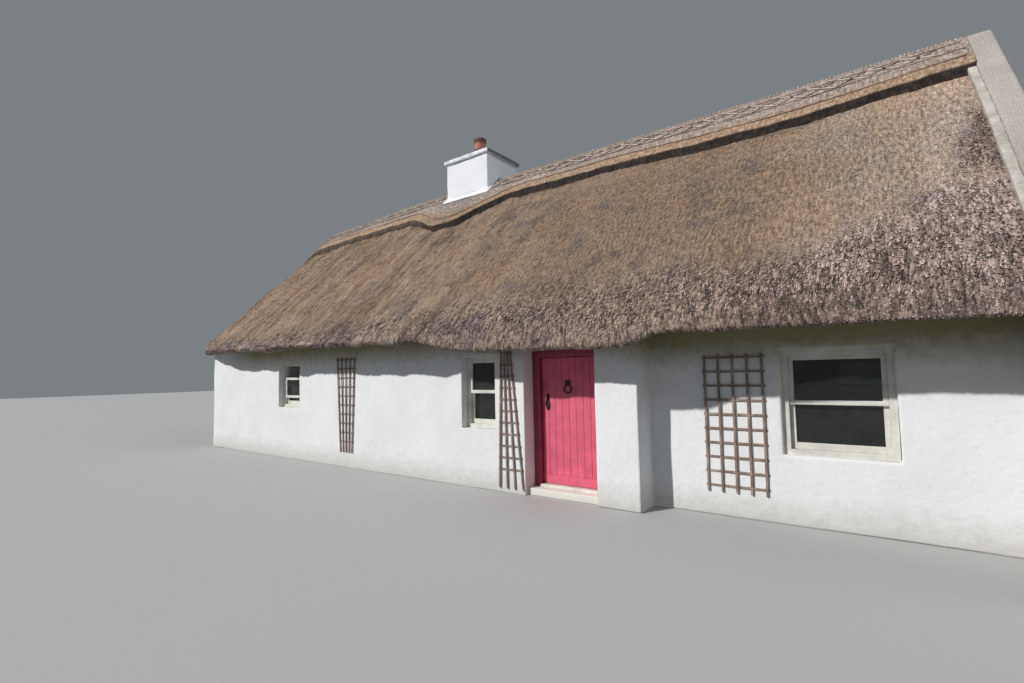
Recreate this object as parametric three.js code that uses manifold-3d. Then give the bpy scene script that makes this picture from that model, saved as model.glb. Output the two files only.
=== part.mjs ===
// Thatched cottage: a low limewashed house under a long straw roof, ending at a party wall on its right.
// Millimetres. X runs along the front wall, Y from the front to the back, Z up from the ground.
// The origin lies on the ground, in the middle of the plan.
import * as THREE from 'three';
import { mergeVertices } from 'three/addons/utils/BufferGeometryUtils.js';
import Module from 'manifold-3d';

const wasm = await Module();
wasm.setup();

// Clearance that resting and cut pieces keep, and the lift that gives it on the roof's slope
const GAP = 0.3;
const SLOPE_GAP = [0, 0, 1.4 * GAP];

// Walls
const HALF_DEPTH = 2900;
const WALL_THICKNESS = 550;
const INNER_Y = HALF_DEPTH - WALL_THICKNESS;
const GABLE_X = -6700;
const GABLE_INNER_X = GABLE_X + WALL_THICKNESS;
const PARTY_INNER_X = 6670;
const PARTY_OUTER_X = 6900;
const PARTY_HALF_DEPTH = 3530;
const PARTY_UPSTAND = 170;
const WALL_HEAD = 2098;

// The front wall steps back behind this corner, right of the door
const STEP_BACK = { x: 3520, depth: 400 };

// Roof: underside, outer skin and eaves
const ROOF_SLOPE = 0.966;
const INNER_APEX = WALL_HEAD + ROOF_SLOPE * HALF_DEPTH;
const SKIN_RIDGE = 5360;
const SKIN_SHOULDER = 2540;
const SHOULDER_DISTANCE = 3000;
const SKIN_STEPS = 6;
const BELLY = 50;
const NOSE_DISTANCE = 3450;
const NOSE_SLOPE = 0.94;
const NOSE_STEPS = 4;
const NOSE_SWELL = 80;
const SWELL_LEFT = [-4600, -3200];
const SWELL_RIGHT = [300, 1500];
const EAVES_HEIGHT = 1965;
const EAVES_FALL = 0.0175;
const EAVES_DIP = 130;
const DIP_LEFT = [500, 1400];
const DIP_RIGHT = [3550, 4050];
const SHOULDER_DIP_SHARE = 0.4;
const LIP_RISE = 50;
const LIP_SET_BACK = 50;

// Left verge, where the thatch runs past the gable and rounds down, and its corners, rounded in plan
const VERGE_X = -6900;
const VERGE_ROUND = 900;
const VERGE_DROP = 260;
const CORNER_LENGTH = 1300;
const CORNER_POWER = 1.3;
const CORNER_SET_BACK = 450;
const CORNER_DROP = 280;
const RIDGE_SAG = 130;
const SAG_RANGE = [-6100, -2400];

// Block ridge of cut straw: its edge reaches less far at the left and further at the right, with an apron
// round the chimney
const BLOCK_THICKNESS = 150;
const BLOCK_CROWN = 200;
const BLOCK_REACH = 680;
const BLOCK_NARROWING = { reach: 80, from: -4800, to: -3200 };
const BLOCK_WAVE = { reach: 160, centre: 4600, halfWidth: 2600 };
const BLOCK_SET_IN = 60;
const BLOCK_VERGE_DROP = 50;
const BLOCK_EDGE_ROOT = 40;
const BLOCK_CROWN_ROOT = 60;
const APRON_CENTRE = -1155;
const APRON_REACH = 500;
const APRON_HALF_WIDTH = 1500;
const APRON_STEPS = 24;

// Chimney
const STACK = { x0: -1750, x1: -630, y0: -340, y1: 660, top: 6015 };
const FLUE = 240;
const FLUE_CENTRE = { x: -1190, y: 110 };
const HEARTH = { depth: 720, y0: -170, y1: 530, z0: 70, top: 1000 };
const CAP_PROJECTION = 50;
const CAP_THICKNESS = 75;
const POT = { height: 495, radius: 120, bore: 95, bevel: 8 };
const POT_RING = { radius: 128, z0: 232, z1: 254 };
const POT_RIM = { radius: 140, height: 72 };

// Fillet round the chimney: its reach from each face, and its hollow section as
// [share of that reach, height over the straw]
const FLARE = { left: 110, right: 50, front: 70, back: 70 };
const FLARE_SECTION = [[-0.5, 102], [0.4, 26], [1, 12], [1, -120]];

// Doorway, its frame and its leaf
const DOORWAY = { x0: 2000, x1: 3000, head: 1810 };
const STEP_TOP = 90;
const STEP_SET_IN = 60;
const THRESHOLD_TOP = 122;
const THRESHOLD_NOSE = 17;
const FLOOR_TOP = 70;
const FRAME_RECESS = 205;
const FRAME_DEPTH = 113;
const JAMB_WIDTH = 95;
const HEAD_DEPTH = 85;
const LEAF_CLEARANCE = 5.5;
const LEAF_THICKNESS = 45;
const LEAF_SET_IN = 65;

// Strap hinges on the inner face of the leaf
const PIN_RADIUS = 7;
const PIN_OFFSET = 18;
const EYE_RADIUS = 13;
const STRAP_LENGTH = 480;
const STRAP_WIDTH = 42;
const STRAP_THICKNESS = 8;
const STRAP_HEIGHTS = { lower: 380, upper: 1480 };
const PINTLE_PLATE = { width: 70, drop: 90, thickness: 6, lap: 4 };
const PINTLE_PIN = { below: 8, above: 12 };
const PINTLE_ARM = { half: 11, height: 20, toJamb: 30 };

// Latch with a bow grip under its thumb piece, and the ring knocker
const LATCH = { fromEdge: 90, z0: 1050, z1: 1255, width: 40, thickness: 5 };
const GRIP = { radius: 8, reach: 48, z0: 1080, z1: 1205 };
const THUMB_PIECE = { width: 26, reach: 34, z: 1222, thickness: 6 };
const KNOCKER = { x: 2490, z: 1322, ring: 52, bar: 8, boss: 32, bossHeight: 78, bossReach: 26 };

// Windows: outer edges, sill, head, set-back of the frame from the wall face, and width of its jambs.
// A lowered window's upper sash stands open by that much.
const FRONT_WINDOWS = [
  { name: 'left_window', x0: -3890, x1: -3155, z0: 955, z1: 1787, recess: 100, jamb: 45, lowered: 220 },
  { name: 'middle_window', x0: 938, x1: 1527, z0: 787, z1: 1770, recess: 110, jamb: 45 },
  { name: 'right_window', x0: 4854, x1: 5784, z0: 676, z1: 1715, recess: 60, jamb: 62, behindStep: true },
];
const BACK_WINDOWS = [
  { name: 'back_window_1', x0: -3890, x1: -3155, z0: 955, z1: 1787, recess: 100, jamb: 45 },
  { name: 'back_window_2', x0: 938, x1: 1673, z0: 955, z1: 1787, recess: 100, jamb: 45 },
  { name: 'back_window_3', x0: 4854, x1: 5784, z0: 676, z1: 1715, recess: 100, jamb: 62 },
];
const WINDOW_SILL = 55;
const WINDOW_DEPTH = 125;
const SASH_BAR = 45;
const SASH_DEPTH = 40;
const SASH_SET_IN = 15;
const SASH_LAP = 1;
const SASH_BOTTOM_SHARE = 1.4;
const JOINED_LAP = 2;
const GLASS_THICKNESS = 4;

// Trellises: uprights between the outer ones at the foot and the head, crossed by level laths
const LATH = { width: 22, depth: 12, overrun: 25 };
const TRELLISES = [
  { name: 'fan_trellis', foot: [-1850, -1540], head: [-1945, -1465], uprights: 5, z0: 250, z1: 1845,
    laths: [430, 1810, 10] },
  { name: 'door_trellis', foot: [1600, 1975], head: [1655, 1800], uprights: 4, z0: 60, z1: 1815,
    laths: [300, 1790, 11] },
  { name: 'square_trellis', foot: [4128, 4696], head: [4128, 4696], uprights: 5, z0: 250, z1: 1690,
    laths: [314, 1655, 10], behindStep: true },
];

// Cement strip where the straw meets the party wall
const FILLET = { width: 75, rise: 90, root: 30, distances: [710, 1200, 1800, 2400, 3120] };

const MATERIALS = {
  limewash: { color: 0xe9e9e6, roughness: 0.9, metalness: 0 },
  partyRender: { color: 0xcfc6b8, roughness: 0.95, metalness: 0 },
  flagstone: { color: 0x77716a, roughness: 0.85, metalness: 0 },
  thatch: { color: 0x8a7461, roughness: 1, metalness: 0 },
  ridgeStraw: { color: 0xa58d70, roughness: 1, metalness: 0 },
  cement: { color: 0xc9c8c4, roughness: 0.9, metalness: 0 },
  clay: { color: 0x9c4330, roughness: 0.8, metalness: 0 },
  doorPaint: { color: 0xb43c55, roughness: 0.55, metalness: 0 },
  framePaint: { color: 0x5e1526, roughness: 0.5, metalness: 0 },
  creamPaint: { color: 0xdcd6c6, roughness: 0.5, metalness: 0 },
  blackIron: { color: 0x1c1a19, roughness: 0.5, metalness: 1 },
  glass: { color: 0x20262a, roughness: 0.08, metalness: 0 },
  weatheredWood: { color: 0x5a4636, roughness: 0.85, metalness: 0 },
};

const cottage = new THREE.Group();

// Adds one named sub-part made of a solid
function addPart(name, part, material) {
  const mesh = new THREE.Mesh(toGeometry(part), new THREE.MeshStandardMaterial(MATERIALS[material]));
  mesh.name = name;
  cottage.add(mesh);
}

function toSolid(geometry) {
  const bare = geometry.index ? geometry.clone() : geometry;
  bare.deleteAttribute('normal');
  bare.deleteAttribute('uv');
  const merged = mergeVertices(bare, 1e-3);
  return new wasm.Manifold(new wasm.Mesh({
    numProp: 3,
    vertProperties: new Float32Array(merged.attributes.position.array),
    triVerts: new Uint32Array(merged.index.array),
  }));
}

function toGeometry(part) {
  const mesh = part.getMesh();
  const geometry = new THREE.BufferGeometry();
  geometry.setAttribute('position', new THREE.BufferAttribute(new Float32Array(mesh.vertProperties), 3));
  geometry.setIndex(new THREE.BufferAttribute(new Uint32Array(mesh.triVerts), 1));
  geometry.computeVertexNormals();
  return geometry;
}

// Box between two opposite corners
function box(low, high) {
  const size = high.map((value, axis) => value - low[axis]);
  const geometry = new THREE.BoxGeometry(...size);
  geometry.translate(...low.map((value, axis) => value + size[axis] / 2));
  return toSolid(geometry);
}

// Outline of [y, z] points, extruded along X from x0 to x1
function prismAlongX(outline, x0, x1) {
  const shape = new THREE.Shape(outline.map(([y, z]) => new THREE.Vector2(y, z)));
  const geometry = new THREE.ExtrudeGeometry(shape, { depth: x1 - x0, bevelEnabled: false });
  const basis = new THREE.Matrix4().set(
    0, 0, 1, x0,
    1, 0, 0, 0,
    0, 1, 0, 0,
    0, 0, 0, 1,
  );
  return toSolid(geometry.applyMatrix4(basis));
}

// Cylinder between two points on one axis
function rod(start, end, radius, sides) {
  const from = new THREE.Vector3(...start);
  const axis = new THREE.Vector3(...end).sub(from);
  const geometry = new THREE.CylinderGeometry(radius, radius, axis.length(), sides);
  const upright = new THREE.Vector3(0, 1, 0);
  geometry.applyQuaternion(new THREE.Quaternion().setFromUnitVectors(upright, axis.clone().normalize()));
  geometry.translate(...from.addScaledVector(axis, 0.5).toArray());
  return toSolid(geometry);
}

// Closed skin through rings of equal length, one ring of [y, z] points for each x
function loft(stations, ringAt) {
  const flat = stations.map((x) => ringAt(x).map(([y, z]) => new THREE.Vector2(y, z)));
  if (THREE.ShapeUtils.area(flat[0]) < 0) {
    flat.forEach((ring) => ring.reverse());
  }
  const count = flat[0].length;
  const positions = flat.flatMap((ring, s) => ring.flatMap((point) => [stations[s], point.x, point.y]));
  const index = [];
  for (let s = 0; s < flat.length - 1; s += 1) {
    for (let i = 0; i < count; i += 1) {
      const a = s * count + i;
      const b = s * count + ((i + 1) % count);
      index.push(a, b, b + count, a, b + count, a + count);
    }
  }
  const last = (flat.length - 1) * count;
  THREE.ShapeUtils.triangulateShape(flat[0], []).forEach(([a, b, c]) => index.push(a, c, b));
  THREE.ShapeUtils.triangulateShape(flat.at(-1), []).forEach(([a, b, c]) => {
    index.push(last + a, last + b, last + c);
  });
  return toSolid(indexed(positions, index));
}

function indexed(positions, index) {
  const geometry = new THREE.BufferGeometry();
  geometry.setAttribute('position', new THREE.BufferAttribute(new Float32Array(positions), 3));
  geometry.setIndex(index);
  return geometry;
}

function smoothStep(from, to, value) {
  const t = THREE.MathUtils.clamp((value - from) / (to - from), 0, 1);
  return t * t * (3 - 2 * t);
}

// Share of the verge's rounding at x: 0 over the house, 1 at the very end
function vergeShare(x) {
  const t = THREE.MathUtils.clamp((VERGE_X + VERGE_ROUND - x) / VERGE_ROUND, 0, 1);
  return 1 - Math.sqrt(1 - t * t);
}

// Share of the corner's rounding in plan at x: 0 over the house, 1 at the very end
function cornerShare(x) {
  return THREE.MathUtils.clamp((VERGE_X + CORNER_LENGTH - x) / CORNER_LENGTH, 0, 1) ** CORNER_POWER;
}

function eavesDip(x) {
  return EAVES_DIP * smoothStep(...DIP_LEFT, x) * (1 - smoothStep(...DIP_RIGHT, x));
}

function eavesHeight(x) {
  return EAVES_HEIGHT - EAVES_FALL * x - eavesDip(x);
}

// How far the eaves reach out from the ridge line
function noseDistance(x) {
  const swell = NOSE_SWELL * smoothStep(...SWELL_LEFT, x) * (1 - smoothStep(...SWELL_RIGHT, x));
  return NOSE_DISTANCE + swell - CORNER_SET_BACK * cornerShare(x);
}

function skinRidge(x) {
  return SKIN_RIDGE - RIDGE_SAG * (1 - smoothStep(...SAG_RANGE, x)) - VERGE_DROP * vergeShare(x);
}

// Height of the thatch's outer skin at x, at a distance from the ridge line
function skinHeight(x, distance) {
  const share = distance / SHOULDER_DISTANCE;
  const shoulder = SKIN_SHOULDER - SHOULDER_DIP_SHARE * eavesDip(x) - CORNER_DROP * cornerShare(x);
  return skinRidge(x) + (shoulder - skinRidge(x)) * share + BELLY * Math.sin(Math.PI * Math.min(share, 1));
}

// Outer skin from the ridge down to the drip edge, as [distance, height] points
function skinProfile(x) {
  const points = [];
  const shoulder = SHOULDER_DISTANCE - (CORNER_SET_BACK / 2) * cornerShare(x);
  const nose = noseDistance(x);
  const drip = eavesHeight(x);
  for (let i = 0; i <= SKIN_STEPS; i += 1) {
    const distance = (shoulder * i) / SKIN_STEPS;
    points.push([distance, skinHeight(x, distance)]);
  }
  const start = new THREE.Vector2(...points.at(-1));
  const control = new THREE.Vector2(nose, start.y - NOSE_SLOPE * (nose - start.x));
  const curve = new THREE.QuadraticBezierCurve(start, control, new THREE.Vector2(nose, drip + LIP_RISE));
  curve.getPoints(NOSE_STEPS).slice(1).forEach((point) => points.push([point.x, point.y]));
  points.push([nose - LIP_SET_BACK, drip]);
  return points;
}

function roofStations() {
  const verge = [0, 20, 80, 180, 320, 500, 700, 900, 1100, 1300].map((offset) => VERGE_X + offset);
  const plain = [-5100, ...evenly(...SWELL_LEFT, 4), -2400, -1700, -1000, -300, 300];
  const dip = [...evenly(...DIP_LEFT, 5), 2100, 2800, ...evenly(...DIP_RIGHT, 5)];
  return [...verge, ...plain, ...dip, 4800, 5700, PARTY_INNER_X - GAP];
}

function evenly(from, to, count) {
  return Array.from({ length: count }, (_, i) => from + ((to - from) * i) / (count - 1));
}

function mirrored(points) {
  return points.map(([distance, height]) => [-distance, height]);
}

// Thatch on both slopes, before it is parted along the ridge
function wholeThatch() {
  return loft(roofStations(), (x) => {
    const skin = skinProfile(x);
    const wallHead = [[HALF_DEPTH + GAP, WALL_HEAD]];
    return [
      ...mirrored(skin),
      ...mirrored(wallHead),
      [0, INNER_APEX],
      ...wallHead,
      ...skin.slice(1).reverse(),
    ];
  });
}

// Share of a rounded swelling at x: 1 at its centre, 0 beyond its half width
function swelling(x, centre, halfWidth) {
  const offset = Math.min(Math.abs(x - centre) / halfWidth, 1);
  return 0.5 + 0.5 * Math.cos(Math.PI * offset);
}

// Distance from the ridge line to the cut edge of the block ridge
function blockEdge(x) {
  const narrowing = BLOCK_NARROWING.reach * (1 - smoothStep(BLOCK_NARROWING.from, BLOCK_NARROWING.to, x));
  const wave = BLOCK_WAVE.reach * swelling(x, BLOCK_WAVE.centre, BLOCK_WAVE.halfWidth);
  const apron = APRON_REACH * swelling(x, APRON_CENTRE, APRON_HALF_WIDTH);
  return BLOCK_REACH - narrowing + wave + apron;
}

function blockHeight(x, distance) {
  const crown = skinRidge(x) + BLOCK_CROWN - BLOCK_VERGE_DROP * vergeShare(x);
  const shoulder = skinHeight(x, BLOCK_REACH) + BLOCK_THICKNESS;
  if (distance > BLOCK_REACH) {
    return skinHeight(x, distance) + BLOCK_THICKNESS;
  }
  return crown + ((shoulder - crown) * distance) / BLOCK_REACH;
}

function blockStations() {
  const left = APRON_CENTRE - APRON_HALF_WIDTH;
  const right = APRON_CENTRE + APRON_HALF_WIDTH;
  const plain = roofStations().filter((x) => x > VERGE_X + BLOCK_SET_IN && (x < left || x > right));
  return [...plain, ...evenly(left, right, APRON_STEPS + 1)].sort((a, b) => a - b);
}

function blockRidge(thatch) {
  const block = loft(blockStations(), (x) => {
    const edge = blockEdge(x);
    const top = [edge / 2, edge].map((distance) => [distance, blockHeight(x, distance)]);
    const side = [...top, [edge, skinHeight(x, edge) - BLOCK_EDGE_ROOT]];
    return [
      [0, blockHeight(x, 0)],
      ...side,
      [0, skinRidge(x) - BLOCK_CROWN_ROOT],
      ...mirrored(side).reverse(),
    ];
  });
  return block.subtract(thatch.translate(SLOPE_GAP));
}

// Masonry stack from the floor to the cap, with its hearth and flue
function chimneyStack() {
  const { x0, x1, y0, y1, top } = STACK;
  const half = FLUE / 2;
  const { x, y } = FLUE_CENTRE;
  const body = box([x0, y0, 0], [x1, y1, top]);
  const flue = box([x - half, y - half, HEARTH.top - 10], [x + half, y + half, top + 10]);
  const hearth = box([x1 - HEARTH.depth, HEARTH.y0, HEARTH.z0], [x1 + 10, HEARTH.y1, HEARTH.top]);
  return body.subtract(flue).subtract(hearth);
}

function stackHole(clearance) {
  const { x0, x1, y0, y1, top } = STACK;
  return box([x0 - clearance, y0 - clearance, -10], [x1 + clearance, y1 + clearance, top + 1000]);
}

// Hollow fillet of cement that spreads from the stack onto the straw
function flaunching(thatch, ridge) {
  const heightAt = (y) => blockHeight(APRON_CENTRE, Math.abs(y));
  const rings = FLARE_SECTION.map(([share, rise]) => {
    const left = STACK.x0 - share * FLARE.left;
    const right = STACK.x1 + share * FLARE.right;
    const rows = [STACK.y0 - share * FLARE.front, 0, STACK.y1 + share * FLARE.back];
    const leftSide = rows.map((y) => [left, y, heightAt(y) + rise]);
    const rightSide = rows.map((y) => [right, y, heightAt(y) + rise]).reverse();
    return [...leftSide, ...rightSide];
  });
  const count = rings[0].length;
  const index = [];
  for (let level = 0; level < rings.length - 1; level += 1) {
    for (let i = 0; i < count; i += 1) {
      const a = level * count + i;
      const b = level * count + ((i + 1) % count);
      index.push(a, b, a + count, b, b + count, a + count);
    }
  }
  const quad = (a, b, c, d) => index.push(a, b, c, a, c, d);
  const base = (rings.length - 1) * count;
  quad(0, 5, 4, 1);
  quad(1, 4, 3, 2);
  quad(base, base + 1, base + 4, base + 5);
  quad(base + 1, base + 2, base + 3, base + 4);
  const body = toSolid(indexed(rings.flat(2), index));
  const straw = ridge.add(ridge.translate(SLOPE_GAP)).add(thatch.translate(SLOPE_GAP));
  return body.subtract(stackHole(GAP)).subtract(straw);
}

function chimneyCap() {
  const p = CAP_PROJECTION;
  const half = FLUE / 2;
  const { x, y } = FLUE_CENTRE;
  const low = STACK.top + GAP;
  const high = STACK.top + CAP_THICKNESS;
  const slab = box([STACK.x0 - p, STACK.y0 - p, low], [STACK.x1 + p, STACK.y1 + p, high]);
  return slab.subtract(box([x - half, y - half, low - 10], [x + half, y + half, high + 10]));
}

// Clay pot with a deep rim and a narrow ring round its middle, open right through
function chimneyPot() {
  const { height, radius, bore, bevel } = POT;
  const rimFoot = height - POT_RIM.height;
  const profile = [
    [bore, 0],
    [radius, 0],
    [radius, POT_RING.z0 - bevel],
    [POT_RING.radius, POT_RING.z0],
    [POT_RING.radius, POT_RING.z1],
    [radius, POT_RING.z1 + bevel],
    [radius, rimFoot - bevel],
    [POT_RIM.radius, rimFoot + bevel],
    [POT_RIM.radius, height - bevel],
    [POT_RIM.radius - bevel, height],
    [bore, height],
    [bore, 0],
  ];
  const geometry = new THREE.LatheGeometry(profile.map(([x, y]) => new THREE.Vector2(x, y)), 24);
  geometry.rotateX(Math.PI / 2);
  geometry.translate(FLUE_CENTRE.x, FLUE_CENTRE.y, STACK.top + CAP_THICKNESS + GAP);
  return toSolid(geometry);
}

// Long wall's cross-section: plumb faces under a head that slopes with the thatch
function longWallOutline(side, bottom, setBack = 0) {
  const outer = HALF_DEPTH - setBack;
  const inner = INNER_Y - setBack;
  const headAt = (distance) => WALL_HEAD + ROOF_SLOPE * (HALF_DEPTH - distance) - 2 * GAP;
  return [
    [side * outer, bottom],
    [side * outer, headAt(outer)],
    [side * inner, headAt(inner)],
    [side * inner, bottom],
  ];
}

function windowHoles(windows, side) {
  return windows.map(({ x0, x1, z0, z1 }) => {
    const faces = [side * (HALF_DEPTH + 10), side * (INNER_Y - STEP_BACK.depth - 10)].sort((a, b) => a - b);
    return box([x0, faces[0], z0], [x1, faces[1], z1]);
  });
}

function longWall(side, x0, x1, windows) {
  const wall = prismAlongX(longWallOutline(side, 0), x0, x1);
  const holes = windowHoles(windows.filter((opening) => opening.x0 > x0 && opening.x1 < x1), side);
  return holes.reduce((body, hole) => body.subtract(hole), wall);
}

// Wall right of the door: a pier beside the doorway, then the stretch that steps back
function steppedWall(right) {
  const pier = prismAlongX(longWallOutline(-1, 0), DOORWAY.x1, STEP_BACK.x);
  const stretch = prismAlongX(longWallOutline(-1, 0, STEP_BACK.depth), DOORWAY.x1, right);
  const holes = windowHoles(FRONT_WINDOWS.filter((opening) => opening.behindStep), -1);
  return holes.reduce((body, hole) => body.subtract(hole), pier.add(stretch));
}

// Gable that rises parallel to the roof's underside
function gableOutline(rise, halfDepth = HALF_DEPTH) {
  const shoulder = INNER_APEX + rise - ROOF_SLOPE * halfDepth;
  return [
    [-halfDepth, 0],
    [-halfDepth, shoulder],
    [0, INNER_APEX + rise],
    [halfDepth, shoulder],
    [halfDepth, 0],
  ];
}

function floorSlab() {
  const slab = box(
    [GABLE_INNER_X + GAP, -INNER_Y + GAP, 0],
    [PARTY_INNER_X - GAP, INNER_Y - GAP, FLOOR_TOP],
  );
  const behindStep = box(
    [DOORWAY.x1 - GAP, -HALF_DEPTH, -10],
    [PARTY_INNER_X, -INNER_Y + STEP_BACK.depth + GAP, FLOOR_TOP + 10],
  );
  return slab.subtract(stackHole(GAP)).subtract(behindStep);
}

function addMasonry() {
  const left = GABLE_INNER_X + GAP;
  const right = PARTY_INNER_X - GAP;
  addPart('floor', floorSlab(), 'flagstone');
  addPart('left_gable_wall', prismAlongX(gableOutline(-2 * GAP), GABLE_X, GABLE_INNER_X), 'limewash');
  const upstand = SKIN_RIDGE - INNER_APEX + PARTY_UPSTAND;
  const partyOutline = gableOutline(upstand, PARTY_HALF_DEPTH);
  addPart('party_wall', prismAlongX(partyOutline, PARTY_INNER_X, PARTY_OUTER_X), 'partyRender');
  addPart('front_wall_left', longWall(-1, left, DOORWAY.x0, FRONT_WINDOWS), 'limewash');
  addPart('front_wall_right', steppedWall(right), 'limewash');
  const overDoor = prismAlongX(
    longWallOutline(-1, DOORWAY.head + GAP),
    DOORWAY.x0 + GAP,
    DOORWAY.x1 - GAP,
  );
  addPart('wall_over_door', overDoor, 'limewash');
  addPart('back_wall', longWall(1, left, right, BACK_WINDOWS), 'limewash');
}

// Strip of cement where the straw meets the party wall, on one slope
function partyWallFillet(side, thatch) {
  const edge = (offset) => FILLET.distances.map((distance) => {
    return [side * distance, skinHeight(PARTY_INNER_X, distance) + offset];
  });
  const outline = [...edge(FILLET.rise), ...edge(-FILLET.root).reverse()];
  const strip = prismAlongX(outline, PARTY_INNER_X - FILLET.width, PARTY_INNER_X - GAP);
  return strip.subtract(thatch.translate(SLOPE_GAP));
}

function addRoof() {
  const thatch = wholeThatch().subtract(stackHole(GAP));
  const ridge = blockRidge(thatch).subtract(stackHole(GAP));
  const wide = 10000;
  const half = GAP / 2;
  addPart('front_thatch', thatch.subtract(box([-wide, -half, 0], [wide, wide, wide])), 'thatch');
  addPart('back_thatch', thatch.subtract(box([-wide, -wide, 0], [wide, half, wide])), 'thatch');
  addPart('block_ridge', ridge, 'ridgeStraw');
  addPart('party_wall_fillet_front', partyWallFillet(-1, thatch), 'cement');
  addPart('party_wall_fillet_back', partyWallFillet(1, thatch), 'cement');
  addPart('chimney_stack', chimneyStack(), 'limewash');
  addPart('chimney_flaunching', flaunching(thatch, ridge), 'limewash');
  addPart('chimney_cap', chimneyCap(), 'cement');
  addPart('chimney_pot', chimneyPot(), 'clay');
}

// Frame of rails round an opening, in the plane of a wall: y0 and y1 are its faces
function rails(outer, bar, bottomBar, y0, y1) {
  const [front, back] = [y0, y1].sort((a, b) => a - b);
  const solid = box([outer.x0, front, outer.z0], [outer.x1, back, outer.z1]);
  const hole = box(
    [outer.x0 + bar, front - 10, outer.z0 + bottomBar],
    [outer.x1 - bar, back + 10, outer.z1 - bar],
  );
  return solid.subtract(hole);
}

// Sliding-sash window: box frame, a pair of sashes stepped at the meeting rail, and its glass
function addWindow(side, opening, joined) {
  const wallFace = HALF_DEPTH - (opening.behindStep ? STEP_BACK.depth : 0);
  const face = (setIn) => side * (wallFace - opening.recess - setIn);
  const outer = { x0: opening.x0 + GAP, x1: opening.x1 - GAP, z0: opening.z0 + GAP, z1: opening.z1 - GAP };
  const frame = rails(outer, opening.jamb, WINDOW_SILL, face(0), face(WINDOW_DEPTH));
  const slack = joined ? -JOINED_LAP : GAP;
  const daylight = {
    x0: outer.x0 + opening.jamb + slack,
    x1: outer.x1 - opening.jamb - slack,
    z0: outer.z0 + WINDOW_SILL + slack,
    z1: outer.z1 - opening.jamb - slack,
  };
  const lowered = opening.lowered ?? 0;
  const middle = (daylight.z0 + daylight.z1) / 2;
  const upper = { ...daylight, z0: middle - SASH_BAR / 2 - lowered, z1: daylight.z1 - lowered };
  const lower = { ...daylight, z1: middle + SASH_BAR / 2 };
  const step = SASH_SET_IN + SASH_DEPTH;
  const inside = step + SASH_DEPTH;
  const bottomBar = SASH_BAR * SASH_BOTTOM_SHARE;
  const upperSash = rails(upper, SASH_BAR, SASH_BAR, face(SASH_SET_IN), face(step));
  const lowerSash = rails(lower, SASH_BAR, bottomBar, face(step - SASH_LAP), face(inside));
  const sashes = upperSash.add(lowerSash);
  const pane = [face(inside + GAP), face(inside + GAP + GLASS_THICKNESS)].sort((a, b) => a - b);
  const inset = joined ? JOINED_LAP + GAP : 0;
  const glass = box(
    [daylight.x0 + inset, pane[0], daylight.z0 + inset],
    [daylight.x1 - inset, pane[1], upper.z1 - inset],
  );
  if (joined) {
    addPart(`${opening.name}_frame`, frame.add(sashes), 'creamPaint');
  } else {
    addPart(`${opening.name}_frame`, frame, 'creamPaint');
    addPart(`${opening.name}_sashes`, sashes, 'creamPaint');
  }
  addPart(`${opening.name}_glass`, glass, 'glass');
}

// Hinge line of the door, just inside the right jamb
const FRAME_FRONT = -HALF_DEPTH + FRAME_RECESS;
const FRAME_BACK = FRAME_FRONT + FRAME_DEPTH;
const LEAF_FRONT = FRAME_FRONT + LEAF_SET_IN;
const LEAF_BACK = LEAF_FRONT + LEAF_THICKNESS;
const LEAF_X0 = DOORWAY.x0 + JAMB_WIDTH + LEAF_CLEARANCE;
const LEAF_X1 = DOORWAY.x1 - JAMB_WIDTH - LEAF_CLEARANCE;
const LEAF_TOP = DOORWAY.head - HEAD_DEPTH - LEAF_CLEARANCE;
const LEAF_BOTTOM = THRESHOLD_TOP + LEAF_CLEARANCE;
const PIN_X = LEAF_X1 + LEAF_CLEARANCE / 2;
const PIN_Y = LEAF_BACK + PIN_OFFSET;

function addDoorway() {
  const [x0, x1] = [DOORWAY.x0 + GAP, DOORWAY.x1 - GAP];
  const step = box([x0, -HALF_DEPTH + STEP_SET_IN, 0], [x1, -INNER_Y - GAP, STEP_TOP]);
  const inner = box([x0 - 10, FRAME_BACK + 10, FLOOR_TOP], [x1 + 10, -INNER_Y + 10, STEP_TOP + 10]);
  addPart('door_step', step.subtract(inner), 'limewash');
  const thresholdX0 = DOORWAY.x0 + JAMB_WIDTH + GAP;
  const thresholdX1 = DOORWAY.x1 - JAMB_WIDTH - GAP;
  const threshold = box(
    [thresholdX0, FRAME_FRONT - THRESHOLD_NOSE, STEP_TOP + GAP],
    [thresholdX1, FRAME_BACK, THRESHOLD_TOP],
  );
  addPart('door_threshold', threshold, 'creamPaint');
  const frame = box([x0, FRAME_FRONT, STEP_TOP + GAP], [x1, FRAME_BACK, DOORWAY.head - GAP]);
  const passage = box(
    [DOORWAY.x0 + JAMB_WIDTH, FRAME_FRONT - 10, STEP_TOP - 10],
    [DOORWAY.x1 - JAMB_WIDTH, FRAME_BACK + 10, DOORWAY.head - HEAD_DEPTH],
  );
  addPart('door_frame', frame.subtract(passage), 'framePaint');
}

// Boarded leaf with its latch, knocker and hinge straps
function addDoorLeaf() {
  addPart('door_leaf', box([LEAF_X0, LEAF_FRONT, LEAF_BOTTOM], [LEAF_X1, LEAF_BACK, LEAF_TOP]), 'doorPaint');
  addPart('door_handle', latch(LEAF_FRONT - GAP), 'blackIron');
  addPart('door_knocker', knocker(LEAF_FRONT - GAP), 'blackIron');
  Object.entries(STRAP_HEIGHTS).forEach(([place, height]) => addHinge(place, height));
}

// Round bar along a curve, closed at both ends
function bentBar(curve, radius, steps) {
  const section = new THREE.Shape().absarc(0, 0, radius, 0, 2 * Math.PI);
  return toSolid(new THREE.ExtrudeGeometry(section, { extrudePath: curve, steps, curveSegments: 5 }));
}

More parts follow.
